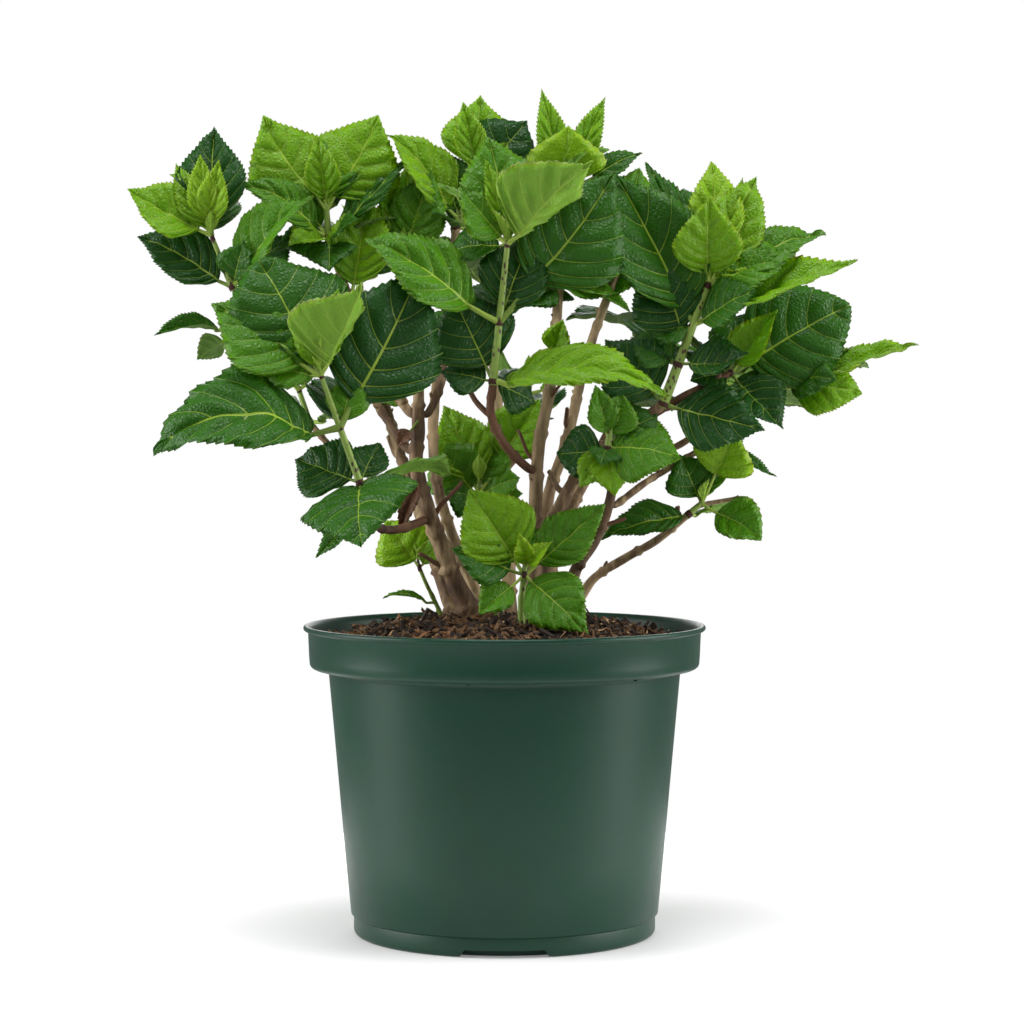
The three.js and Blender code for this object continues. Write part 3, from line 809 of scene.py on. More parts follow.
class Blade:
    """The plan of a toothed leaf. Its rows follow the side veins, which leave the midrib and sweep
    forward to the margin. A row is told by its end on the margin, as a share of the leaf's length."""

    def __init__(self, veins, teeth, columns):
        starts = [FIRST_VEIN + VEIN_SPAN * (k / (veins - 1)) ** VEIN_PACE for k in range(veins)]
        bounds = [BLADE_START, *starts, BLADE_END]
        rows = [(BLADE_START, 0.0, 0.0, 0, 0)]
        for cell, (low, high) in enumerate(zip(bounds, bounds[1:])):
            if cell:
                rows.append((low, 1.0, 0.0, 1, cell))
            for order in range(2 * teeth - 1):
                share = (order // 2 + (NOTCH, 1.0)[order % 2]) / teeth
                rows.append((low + (high - low) * share, float(order % 2), share, 0, cell))
            if cell < veins:
                rows.append((high, 1.0, 0.0, -1, cell + 1))
        rows.append((BLADE_END, 0.0, 0.0, 0, veins))
        self.end, self.tooth, self.share, self.edge, self.cell = np.array(rows).T
        self.cells = veins + 1
        self.foot = self.end ** VEIN_SWEEP
        self.reach = np.concatenate([[0, 0.02], np.linspace(0, 1, columns)[1:]])
        self.columns = columns
        self.faces, self.kinds = self.make_faces()

    def make_faces(self):
        """Quads of the upper and lower faces, which share their margin and their first and last rows."""
        rows = len(self.end)
        wide = 2 * self.columns + 1
        last = wide - 1

        def top(row, column):
            return row * wide + column

        def under(row, column):
            if column in (0, last) or row in (0, rows - 1):
                return top(row, column)
            return rows * wide + (row - 1) * (wide - 2) + column - 1

        faces = []
        kinds = []
        for row in range(rows - 1):
            vein = self.edge[row] == -1 and self.edge[row + 1] == 1
            for column in range(last):
                rib = column in (self.columns - 1, self.columns)
                faces.append((top(row, column), top(row, column + 1),
                              top(row + 1, column + 1), top(row + 1, column)))
                kinds.append(MIDRIB if rib else SIDE_VEIN if vein else UPPER)
                faces.append((under(row, column), under(row + 1, column), under(row + 1, column + 1),
                              under(row, column + 1)))
                kinds.append(UNDER_VEIN if rib or vein else UNDER)
        return np.array(faces), np.array(kinds)

    def shape(self, length, width, style, rng, thickness):
        """Points of one leaf in millimetres, lying along +Y with its face to +Z, before it is bent."""
        foot, end, reach = self.foot[:, None], self.end[:, None], self.reach[None, :]
        size = length / 100
        tooth = (self.tooth - 0.5)[:, None] * style["tooth"] * size ** 0.6
        tooth = tooth * np.sin(np.pi * end ** 0.8) ** 0.4
        rib = (1.05 - 0.75 * foot) * size
        phases = rng.random(12) * 2 * math.pi
        swell = (0.7 + 0.6 * rng.random((2, self.cells + 1)))[:, self.cell.astype(int)]
        halves = []
        for hand in (0, 1):
            half = 0.5 * width * outline_width(end, style["point"]) * (1 + 0.05 * (hand - 0.5) * rng.normal())
            side = reach * np.maximum(half + tooth, 0.2)
            side = np.maximum(side, rib * (reach > 0))
            side[:, 1] = np.minimum(rib[:, 0], side[:, 2] * 0.5)
            forward = foot + (end - foot) * (0.42 * reach + 0.58 * reach ** 2)
            vein = self.edge[:, None] * 0.55 * size * (1 - 0.6 * reach)
            along = length * forward + tooth * 0.9 * reach ** 2 + vein
            bulge = np.sin(np.pi * self.share)[:, None] ** 0.7 * np.sin(np.pi * reach ** 0.8)
            bulge = bulge * swell[hand][:, None]
            height = style["quilt"] * size * bulge
            wave = np.sin(14 * end + phases[hand]) + 0.5 * np.sin(31 * end + phases[hand + 2])
            height = height + style["ripple"] * size * reach ** 2 * wave
            halves.append(np.stack([(2 * hand - 1) * side, along, height], axis=2))
        top = np.concatenate([halves[0][:, :0:-1], halves[1]], axis=1)
        across, ahead = top[:, :, 0], top[:, :, 1]
        for k in range(3):
            turn = phases[4 + k]
            pace = 2 * math.pi / ((16 + 9 * k) * max(size, 0.35))
            top[:, :, 2] += style["lumps"] * size * np.sin(
                pace * (across * math.cos(turn) + ahead * math.sin(turn)) + phases[7 + k])
        share = ahead / length
        top[:, :, 0] += length * style["sway"] * (share ** 2 - share)
        veins = np.abs(self.edge)[:, None] * np.ones(top.shape[1])[None, :]
        veins[:, self.columns - 1:self.columns + 2] = 1
        deep = thickness / MM * (1 + 1.6 * veins * (1 - 0.6 * foot)) * min(1.0, size + 0.35)
        lower = top[1:-1, 1:-1].copy()
        lower[:, :, 2] -= deep[1:-1, 1:-1]
        return np.concatenate([top.reshape(-1, 3), lower.reshape(-1, 3)])


WIDEST = 0.4             # where a leaf is widest, as a share of its length
FOOT_ROUND = 0.72        # the less, the blunter the leaf is at its foot
FLANK_ROUND = 1.7        # the more, the longer it stays wide towards its tip


def outline_width(share, point):
    """Half width of the leaf as a share of its widest. point tells how far the tip is drawn out."""
    share = np.clip(share, 0, 1)
    foot = np.sin(0.5 * np.pi * np.minimum(share / WIDEST, 1)) ** FOOT_ROUND
    ahead = np.maximum(share - WIDEST, 0) / (1 - WIDEST)
    return foot * (1 - ahead ** FLANK_ROUND) ** point


BIG = Blade(veins=7, teeth=3, columns=7)
SMALL = Blade(veins=5, teeth=2, columns=5)
SMALL_BELOW = 46.0       # a blade shorter than this, in millimetres, takes the small plan


def bend(points, length, style):
    """Folds, arches and twists a flat leaf. Its foot stays at the origin and its tip at 1 on the +Y axis."""
    side, along, height = points.T
    fold = math.radians(style["fold"])
    flare = style["cup"] * side ** 2 / max(length, 1)
    lifted = height * math.cos(fold) + np.abs(side) * math.sin(fold) - flare
    side = side * math.cos(fold)
    share = np.clip(along / length, 0, 1)
    twist = math.radians(style["twist"]) * share
    flat = side
    side = flat * np.cos(twist) - lifted * np.sin(twist)
    lifted = flat * np.sin(twist) + lifted * np.cos(twist)
    curl = math.radians(style["curl"])
    fine = np.linspace(0, 1.02, 103)
    tip = 100
    angle = -curl * fine ** style["hook"]
    forward = np.concatenate([[0], np.cumsum(np.cos(angle[:-1]) * np.diff(fine))])
    upward = np.concatenate([[0], np.cumsum(np.sin(angle[:-1]) * np.diff(fine))])
    chord = math.hypot(forward[tip], upward[tip])
    tilt = math.atan2(upward[tip], forward[tip])
    place_f = np.interp(along / length, fine, forward) * length
    place_u = np.interp(along / length, fine, upward) * length
    slope = np.interp(along / length, fine, angle)
    f = place_f - lifted * np.sin(slope)
    u = place_u + lifted * np.cos(slope)
    turned_f = (f * math.cos(-tilt) - u * math.sin(-tilt)) / chord
    turned_u = (f * math.sin(-tilt) + u * math.cos(-tilt)) / chord
    return np.stack([side, turned_f, turned_u], axis=1)


def heading(turn, rise):
    """A direction from its turn about the upright axis and its rise above level, in degrees."""
    a, b = math.radians(turn), math.radians(rise)
    return np.array([math.cos(b) * math.cos(a), math.cos(b) * math.sin(a), math.sin(b)])


def facing(direction, face, lean=0.0):
    """The way a blade's upper face looks, square to its direction: up for 0 and to the front for 90."""
    angle = math.radians(face)
    look = np.array([lean, -math.sin(angle), math.cos(angle)])
    return unit(look - direction * look.dot(direction))


# How a leaf is bent and shaped where its row in a table doesn't say otherwise. Angles are degrees, quilt,
# ripple, lumps and tooth are millimetres on a leaf 100 long, and stalk is a share of the way to the tip.
STYLE = {
    "fold": 17, "cup": 0.25, "curl": 30, "hook": 1.3, "quilt": 2.9, "ripple": 1.5, "lumps": 0.6,
    "tooth": 1.5, "stalk": 0.14, "lean": 0.0, "point": 1.4,
}
SWAY_SPREAD = 0.12       # spread of the sideways bow of the leaves
TWIST_SPREAD = 8         # spreads of their twist and fold, in degrees
FOLD_SPREAD = 5

LIGHT_STALK, DARK_STALK, SHOOT, SHOOT_JOINT = range(4)    # the materials of the green wood, in their order
LIGHT_STALKED = ("young", "fresh", "mid")
STALK_SIDES = 8          # faces round a leaf stalk and round a green shoot
SHOOT_SIDES = 12
STALK_RADIUS = 0.55      # of a stalk in millimetres, and its gain with the leaf's reach, up to a longest one
STALK_GAIN = 0.013
STALK_LONGEST = 125
STALK_TAPER = (1.35, 1.1, 0.95, 0.85, 0.5)    # its thickness from the joint to its end inside the blade


def add_leaf(sheaf, stalks, foot, reach_to, width, tone, face, rng, settings, **changes):
    """One leaf on its stalk. foot is its joint on the shoot, in metres, and reach_to the way from there to
    its tip, in millimetres."""
    reach = np.linalg.norm(reach_to) * MM
    direction = unit(np.array(reach_to, float))
    style = {**STYLE, "sway": rng.normal(0, SWAY_SPREAD), "twist": rng.normal(0, TWIST_SPREAD), **changes}
    style["ripple"] *= 0.6 + 1.1 * rng.random()
    style["fold"] += rng.normal(0, FOLD_SPREAD)
    style["point"] *= 0.9 + 0.25 * rng.random()
    stalk = reach * style["stalk"]
    normal = facing(direction, face, style["lean"])
    foot_blade = foot + direction * stalk - normal * 0.02 * reach
    tip = foot + direction * reach
    axis = unit(tip - foot_blade)
    length = np.linalg.norm(tip - foot_blade) / MM
    normal = unit(normal - axis * normal.dot(axis))
    blade = BIG if length > SMALL_BELOW else SMALL
    points = bend(blade.shape(length, width, style, rng, settings.thickness), length, style)
    placed = foot_blade + points @ np.stack([np.cross(axis, normal), axis, normal]) * MM
    sheaf.add(placed, blade.faces, blade.kinds + KINDS * TONES.index(tone))
    thick = (STALK_RADIUS + STALK_GAIN * min(reach / MM, STALK_LONGEST)) * MM
    middle = foot + direction * stalk * 0.5 + np.array([0, 0, -0.05]) * stalk
    inside = foot_blade + axis * 0.04 * reach
    route = np.array([foot, foot + (middle - foot) * 0.5, middle, foot_blade, inside])
    slot = LIGHT_STALK if tone in LIGHT_STALKED else DARK_STALK
    add_tube(stalks, route, np.array(STALK_TAPER) * thick, STALK_SIDES, slot, 3)


def add_tube(sheaf, route, radii, sides, slot, steps):
    """A closed smooth tube along a short route, gathered into a sheaf of quads."""
    length = np.linalg.norm(np.diff(route, axis=0), axis=1).sum()
    points, widths = smooth_route(route, radii, length / (steps * len(route)))
    _, across, upward = route_frames(points)
    angles = np.linspace(0, 2 * math.pi, sides, endpoint=False)
    cosines, sines = np.cos(angles)[None, :, None], np.sin(angles)[None, :, None]
    circle = cosines * across[:, None, :] + sines * upward[:, None, :]
    rings = points[:, None, :] + widths[:, None, None] * circle
    count = len(points)
    k = np.arange(sides)
    after = (k + 1) % sides
    faces = []
    for ring in range(count - 1):
        low = ring * sides
        high = low + sides
        faces.append(np.stack([low + k, low + after, high + after, high + k], axis=1))
    half = sides // 2 - 1
    for base, flip in ((0, True), ((count - 1) * sides, False)):
        for j in range(half):
            quad = [base + j, base + j + 1, base + sides - j - 2, base + sides - j - 1]
            faces.append(np.array([quad[::-1] if flip else quad]))
    faces = np.concatenate(faces)
    sheaf.add(rings.reshape(-1, 3), faces, np.full(len(faces), slot))


# Each shoot: the limb it goes on from, the way it leans, its height, how many leaves the rule adds behind,
# and the leaves listed one by one. A leaf: the height of its joint up the shoot (or the joint's place from
# the limb's tip), the way from there to the leaf's tip, its width, tone and face, and changes to its style.
# A negative height is down the limb. Lengths are millimetres.
SHOOTS = {
    "far_left": ("bough_far_left", (-0.37, 0, 0.93), 40, 3, [
        (0, (-71, 10, 37), 50, "deep", 52, {"curl": 20, "quilt": 3.0, "ripple": 1.8}),
        (0, (61, -6, 63), 54, "mid", 55, {"curl": 62, "hook": 2.0, "lean": -0.5}),
        (0, (42, 30, 38), 44, "dark", 40, {}),
        (0, (10, -6, 34), 36, "dark", 60, {}),
        (40, (-61, -8, 33), 52, "fresh", 52, {"fold": 30, "curl": -12, "quilt": 2.4}),
        (40, (0, 25, 82), 54, "deep", 90, {"curl": 15}),
        (42, (-6, -10, 57), 26, "young", 75, {"fold": 22}),
        (42, (8, -12, 53), 26, "young", 75, {"fold": 22}),
        (38, (-28, 12, 56), 26, "fresh", 70, {}),
    ]),
    "left_top": ("bough_left_top", (-0.06, 0, 1), 22, 4, [
        (0, (-47, 30, 64), 48, "mid", 80, {}),
        (0, (61, 10, 60), 26, "dark", 55, {"curl": 30, "lean": -0.2}),
        (0, (-66, -6, 37), 34, "mid", 50, {"curl": 62}),
        (0, (2, -27, -27), 42, "dark", 55, {"curl": 30}),
        (0, (-29, -22, -8), 36, "fresh", 40, {"fold": 32}),
        (0, (-38, -10, -6), 36, "dark", 60, {"curl": 40}),
        (0, (24, -18, 12), 34, "dark", 40, {}),
        (20, (-48, 14, 71), 70, "fresh", 76, {"fold": 8, "curl": -10, "quilt": 2.6}),
        (20, (38, 10, 71), 74, "fresh", 80, {"fold": 8, "curl": 8, "quilt": 2.6}),
        (20, (-6, -8, 54), 30, "fresh", 75, {"fold": 25}),
        (20, (6, 20, 62), 44, "mid", 85, {}),
    ]),
    "left_front": ("bough_left_front", (-0.34, 0.02, 0.94), 78, 3, [
        (0, (4, -50, -44), 86, "dark", 50, {"lean": -0.35, "fold": 8, "curl": 45, "stalk": 0.04}),
        (0, (-46, 28, 15), 56, "deep", 60, {}),
        (0, (14, 24, 26), 30, "deep", 70, {}),
        ((4, 16, -20), (-36, 6, -34), 16, "dark", 60, {"fold": 35, "stalk": 0.3}),
        (40, (-127, -12, -21), 80, "dark", 42, {"fold": 6, "curl": 104, "hook": 1.1, "stalk": 0.16}),
        (40, (56, 20, 114), 86, "deep", 82, {"fold": 6, "curl": 14, "stalk": 0.16}),
        ((38, 88, 42), (-15, -4, -19), 14, "brown", 60, {"curl": 70, "fold": 30, "stalk": 0.4}),
        ((39, 91, 3), (-14, -6, -42), 18, "brown", 60, {"curl": 60, "fold": 40}),
        (78, (-46, 26, 82), 94, "dark", 85, {"fold": 5, "curl": 26, "stalk": 0.2, "point": 0.85}),
        (78, (-78, 16, 50), 74, "mid", 55, {"curl": 25, "stalk": 0.16}),
        (78, (-48, 8, 2), 36, "mid", 50, {}),
        (40, (10, 12, 36), 32, "mid", 70, {}),
        (78, (31, -28, 64), 88, "fresh", -62,
         {"fold": 36, "lean": -0.66, "curl": -10, "stalk": 0.1, "point": 1.8}),
        (78, (-17, 4, 48), 22, "fresh", 80, {"fold": 18}),
        (78, (12, 6, 61), 26, "fresh", 80, {"fold": 18}),
    ]),
    "tall": ("bough_tall", (0.105, 0, 0.994), 96, 3, [
        (0, (122, -15, -13), 52, "fresh", 36, {"fold": 12, "curl": 74, "stalk": 0.09}),
        (0, (-30, 12, 62), 66, "deep", 80, {"stalk": 0.16}),
        (0, (-38, 8, 6), 40, "deep", 60, {}),
        (0, (30, 20, -16), 36, "deep", 60, {}),
        (41, (81, 10, 106), 80, "dark", 78, {"fold": 8, "curl": 12, "stalk": 0.27}),
        (41, (-95, -8, 59), 56, "mid", 55, {"fold": 10, "curl": 50, "stalk": 0.2}),
        (41, (24, 18, 62), 54, "deep", 82, {}),
        (96, (61, -38, 57), 84, "fresh", -62,
         {"fold": 34, "lean": -0.6, "curl": -6, "stalk": 0.1, "point": 1.8}),
        (96, (-14, 14, 77), 60, "mid", 86, {"fold": 10, "stalk": 0.1}),
        (96, (-34, -4, 38), 42, "mid", 60, {"fold": 22}),
        (96, (-44, 20, -6), 42, "dark", 50, {}),
        (96, (-16, 2, 60), 18, "fresh", 75, {"fold": 25}),
    ]),
    "right_top": ("cane_right", (0.35, 0, 0.937), 90, 4, [
        (0, (72, -18, -19), 52, "deep", 62, {"fold": 6, "curl": 22}),
        (0, (-42, 8, 46), 58, "deep", 80, {}),
        (30, (-34, 10, 20), 38, "dark", 70, {}),
        (30, (48, -25, 8), 48, "deep", 42, {"fold": 20, "curl": -45}),
        (48, (-34, 6, 56), 62, "deep", 84, {}),
        (61, (-57, 8, 108), 84, "dark", 80, {"fold": 22, "curl": 20, "lean": 0.25, "stalk": 0.1}),
        (61, (117, -8, 44), 56, "fresh", 28, {"fold": 26, "curl": 14, "quilt": 3.0, "stalk": 0.12}),
        (61, (44, -24, 22), 46, "dark", 45, {}),
        (61, (-30, 6, -10), 34, "dark", 55, {}),
        (90, (86, 12, 37), 44, "mid", 42, {"curl": 30}),
        (90, (62, 0, 20), 48, "mid", 50, {"curl": 40}),
        (90, (-44, 26, 90), 34, "dark", 70, {}),
        (90, (-15, 46, 72), 54, "dark", 85, {}),
        (90, (0, -16, 63), 54, "fresh", 78, {"fold": 24, "stalk": 0.12}),
        (90, (3, 24, 90), 44, "young", 88, {"stalk": 0.22, "fold": 24}),
        (90, (36, 18, 78), 48, "fresh", 80, {"fold": 16, "stalk": 0.2}),
        (90, (27, 30, 80), 24, "fresh", 80, {}),
        (90, (36, 14, 38), 34, "young", 70, {"fold": 26}),
    ]),
    "right": ("bough_right_outer", (0.2, 0, 0.98), 8, 3, [
        (0, (88, 10, 50), 84, "dark", 80, {"fold": 5, "curl": 16, "point": 0.9}),
        (0, (33, -14, 46), 40, "fresh", 60, {"fold": 36}),
        (0, (-30, -6, -6), 40, "deep", 60, {}),
        (0, (36, -22, -41), 56, "deep", 45, {"curl": 25}),
        (0, (30, 6, -30), 46, "dark", 60, {}),
        (0, (12, 14, 44), 46, "dark", 80, {}),
    ]),
    "right_tip": ("bough_right_tip", (0.3, 0, 0.95), 8, 2, [
        (0, (97, -5, 32), 32, "fresh", 28, {"fold": 22, "curl": 8, "stalk": 0.12, "point": 1.6}),
        (0, (55, -14, -5), 48, "fresh", 56, {"curl": 60, "fold": 6, "point": 1.0}),
        (0, (36, -24, 4), 38, "dark", 50, {"curl": 60, "fold": 6}),
        (4, (4, -4, 26), 16, "young", 70, {"fold": 20}),
    ]),
    "top": ("cane_left_back", (0.43, 0.02, 0.9), 40, 4, [
        (6, (-54, -5, 63), 48, "fresh", 45, {"fold": 24, "curl": 45}),
        (6, (-12, 12, 54), 50, "dark", 75, {}),
        (0, (-18, -22, 10), 38, "dark", 30, {"fold": 28}),
        (20, (40, -4, 22), 48, "deep", 60, {}),
        (40, (1, 16, 64), 58, "fresh", 88, {"fold": 16, "curl": 0, "quilt": 2.6}),
        (40, (-12, -4, 57), 28, "fresh", 80, {"fold": 20}),
        (40, (36, 12, 44), 56, "deep", 80, {"stalk": 0.3}),
        (40, (14, 20, 40), 46, "dark", 80, {}),
    ]),
    "top_right": ("cane_centre", (0, 0, 1), 12, 2, [
        (8, (-18, 5, 76), 26, "fresh", 65, {"fold": 28}),
        (8, (30, 5, 70), 26, "fresh", 60, {"fold": 24}),
        (8, (2, -12, 47), 60, "young", 80, {"fold": 14, "quilt": 2.6}),
        (8, (27, 2, 42), 22, "fresh", 70, {}),
        (8, (12, -32, 24), 42, "mid", 35, {"curl": 45}),
        (8, (58, 10, 28), 22, "dark", 55, {"stalk": 0.35}),
        (8, (-26, 10, 32), 44, "dark", 80, {}),
        (0, (26, -14, -6), 44, "dark", 50, {}),
    ]),
    "left_inner": ("bough_left_inner", (0.1, 0, 0.99), 18, 2, [
        ((-36, -11, -18), (12, 14, 77), 54, "fresh", 85, {"fold": 12, "curl": 20, "stalk": 0.12}),
        (0, (5, 15, 83), 46, "fresh", 75, {"fold": 16}),
        (8, (22, 5, 68), 46, "mid", 75, {}),
        (0, (-30, 12, 24), 40, "dark", 60, {}),
        (0, (30, -10, 14), 46, "dark", 50, {}),
    ]),
    "right_inner": ("cane_right_inner", (0, 0, 1), 22, 3, [
        (0, (-8, -20, -16), 40, "mid", 50, {}),
        (0, (-10, -6, -32), 30, "mid", 60, {}),
        (0, (8, 0, 27), 22, "fresh", 60, {"fold": 25}),
        (0, (40, 10, 30), 54, "dark", 70, {}),
        (10, (-34, 8, 42), 50, "dark", 80, {}),
        (20, (12, 14, 48), 42, "mid", 75, {}),
    ]),
    "centre_back": ("cane_centre", (0.08, 0.12, 0.99), 0, 0, [
        (-62, (-25, -8, -18), 34, "dark", 55, {}),
        (-62, (-36, -4, 0), 30, "dark", 50, {}),
        (-62, (-14, 2, 14), 34, "dark", 70, {}),
        (-62, (-4, 6, -12), 30, "deep", 60, {}),
        (-62, (0, -16, 12), 30, "mid", 60, {}),
        (-62, (43, 2, 26), 40, "deep", 60, {}),
        (-62, (53, -5, -22), 36, "mid", 20, {"fold": 24}),
        (-62, (45, -5, -8), 30, "mid", 45, {}),
        (-62, (-6, 50, 16), 40, "dark", 0, {}),
        ((-9, -35, -116), (7, -12, 28), 26, "fresh", 60, {"fold": 24}),
    ]),
    "inner": ("bough_inner", (-0.1, 0, 0.99), 10, 1, [
        (0, (0, 10, 46), 38, "deep", 75, {}),
        (0, (-26, 8, 34), 40, "dark", 70, {}),
    ]),
    "right_mid": ("cane_right_low", (0.15, 0, 0.99), 12, 2, [
        (6, (-10, -8, 40), 26, "mid", 60, {"fold": 24}),
        (6, (10, 0, 34), 34, "mid", 75, {}),
        (2, (-6, -14, -14), 26, "dark", 50, {"curl": 60}),
        (0, (5, -15, -34), 32, "fresh", 60, {}),
        (2, (52, -18, -9), 54, "mid", 70, {"fold": 6, "curl": 26, "stalk": 0.06}),
        (6, (36, 5, 18), 44, "dark", 70, {}),
        (0, (-36, 15, -4), 44, "deep", 70, {}),
        (0, (-20, -5, -28), 26, "fresh", 60, {}),
    ]),
    "right_low": ("bough_right_low", (0.3, 0, 0.95), 8, 1, [
        (0, (52, 0, -23), 20, "dark", 40, {"fold": 30}),
        (0, (26, 14, 16), 38, "mid", 60, {}),
    ]),
    "far_low": ("cane_far_right", (0.75, 0, 0.66), 12, 2, [
        (0, (-65, -8, -18), 34, "dark", 55, {"curl": 35, "stalk": 0.08}),
        (12, (43, -14, -27), 42, "mid", 64, {"curl": 30, "stalk": 0.26, "point": 1.1}),
        (12, (-16, 5, 36), 44, "dark", 75, {}),
        (12, (24, -5, 52), 50, "young", 80, {"stalk": 0.4}),
    ]),
    "left_behind": ("bough_left_behind", (-0.2, 0, 0.98), 8, 2, [
        (0, (-68, -6, -8), 24, "dark", 10, {"fold": 38, "curl": 40, "twist": 60, "stalk": 0.3}),
        (0, (-36, -4, -26), 26, "dark", -50, {"fold": 30, "curl": 40, "stalk": 0.45}),
    ]),
    "shoot_front": ("shoot_front", (0.05, 0, 1), 8, 1, [
        (0, (-40, 8, 60), 62, "fresh", 74, {"fold": 14, "curl": 34, "stalk": 0.16}),
        (0, (58, 4, 50), 42, "mid", 60, {"fold": 24, "curl": 16, "stalk": 0.16}),
        (0, (-52, -5, 18), 44, "dark", 62, {"fold": 16, "curl": 24, "stalk": 0.2}),
        (0, (-32, -12, -28), 32, "mid", 56, {"fold": 14, "stalk": 0.3}),
        (0, (46, -22, -43), 50, "mid", 60, {"fold": 12, "curl": 34, "stalk": 0.1, "point": 1.8}),
        (4, (-4, -14, 26), 16, "young", 70, {"fold": 24}),
        (4, (20, -8, 20), 20, "young", 50, {"fold": 26}),
    ]),
    "shoot_left": ("shoot_left", (-0.2, 0, 0.98), 5, 0, [
        (0, (-25, 5, 34), 48, "young", 84, {"fold": 8}),
        (0, (20, 24, 20), 26, "fresh", 40, {}),
        ((11, 6, -26), (-38, -11, 3), 9, "mid", 20, {"curl": 60}),
    ]),
    "shoot_back": ("shoot_back", (0.1, 0, 0.99), 10, 1, [
        (0, (-33, 2, 40), 52, "mid", 84, {"fold": 6}),
        (4, (-26, 14, 63), 48, "fresh", 80, {}),
        (0, (46, 6, 72), 50, "fresh", 78, {"stalk": 0.4}),
        (4, (18, 8, 45), 36, "mid", 80, {}),
        (0, (32, -4, 14), 40, "mid", 60, {}),
        (0, (34, -4, 2), 40, "mid", 60, {}),
        (0, (-25, -3, 4), 38, "dark", 60, {}),
    ]),
}

# Shoots of the plant's back: the limb, turn of the lowest pair, reach of its leaves, number of pairs.
PAIRED = {
    "back_left": ("cane_back_left", 110, 104, 3),
    "back": ("cane_back", 75, 108, 3),
    "back_right": ("cane_back_right", 50, 106, 3),
    "back_far_left": ("bough_back_left", 150, 96, 2),
    "back_low": ("bough_back_low", 85, 86, 2),
    "back_far_right": ("bough_back_right", 30, 98, 2),
}
PAIR_STEP = 26           # height between two pairs, in millimetres
PAIR_LIFT = (0, 0, 1.2)  # turns these shoots upwards from the way their limbs point
TUFT_DROP = 12           # how far their tufts lie below the place of one more pair, in millimetres
TUFT_LEAST = 12          # length of a tuft's leaves, in millimetres, and its gain with the shoot's leaves
TUFT_GAIN = 0.12
BEHIND_SHORTEST = 52     # lengths of the leaves added behind, in millimetres
BEHIND_LONGEST = 100
RULE_WIDTH = 0.64        # width of a rule-grown leaf as a share of its length
RING_GAP = 20 * MM       # joints that are nearer than this to the one below have no ring


def upper_face(turn):
    """The face of a rule-grown leaf: tipped a little towards the side that it grows to."""
    return -30 * math.sin(math.radians(turn))


def leaf_pairs(turn, reach, count, rng):
    """Opposite pairs, each square to the one below it, shorter and steeper towards the tip."""
    rows = []
    order = ("deep", "mid", "fresh")
    for level in range(count):
        for half in (0, 180):
            side = turn + 90 * level + half + rng.normal(0, 8)
            rise = 8 + 24 * level + rng.normal(0, 5) - half / 30
            length = reach * (1 - 0.13 * level) * (1 - 0.06 * (half > 0))
            tone = order[min(level + int(rng.random() < 0.3), 2)]
            rows.append((PAIR_STEP * level, heading(side, rise) * length, length * RULE_WIDTH, tone,
                         upper_face(side), {"curl": 25 + 20 * rng.random()}))
    return rows


def leaves_behind(joints, count, size, rng):
    """Leaves that the rule adds at a shoot's joints, on the side away from the front."""
    rows = []
    for index in range(count):
        share = (index + 0.5) / count
        side = 90 + (share - 0.5) * 120 * (1 - 2 * (index % 2)) + rng.normal(0, 10)
        rise = -4 + 40 * share + rng.normal(0, 7)
        length = size * (0.95 - 0.2 * share)
        tone = ("deep", "dark", "mid", "mid")[int(rng.random() * 4)]
        joint = joints[int(share * len(joints))]
        rows.append((joint, heading(side, rise) * length, length * RULE_WIDTH, tone,
                     upper_face(side), {"curl": 25 + 25 * rng.random()}))
    return rows


def young_tuft(rng, height, size):
    """The folded young leaves at the tip of a shoot, in two crossed pairs."""
    rows = []
    start = rng.random() * 180
    for level in range(2):
        for half in (0, 180):
            side = start + 90 * level + half + rng.normal(0, 10)
            length = size * (1 - 0.35 * level) * (0.85 + 0.3 * rng.random())
            rows.append((height + 2 * level, heading(side, 62 + 10 * level) * length, length * 0.5, "young",
                         0, {"fold": 30, "curl": 15, "quilt": 0.8}))
    return rows


def shoot_place(limb):
    """The tip of a limb of the frame, the way it points there and its radius."""
    points, widths = smooth_route(*ROUTES[limb], 4 * MM)
    return points[-1], unit(points[-1] - points[-2]), widths[-1]


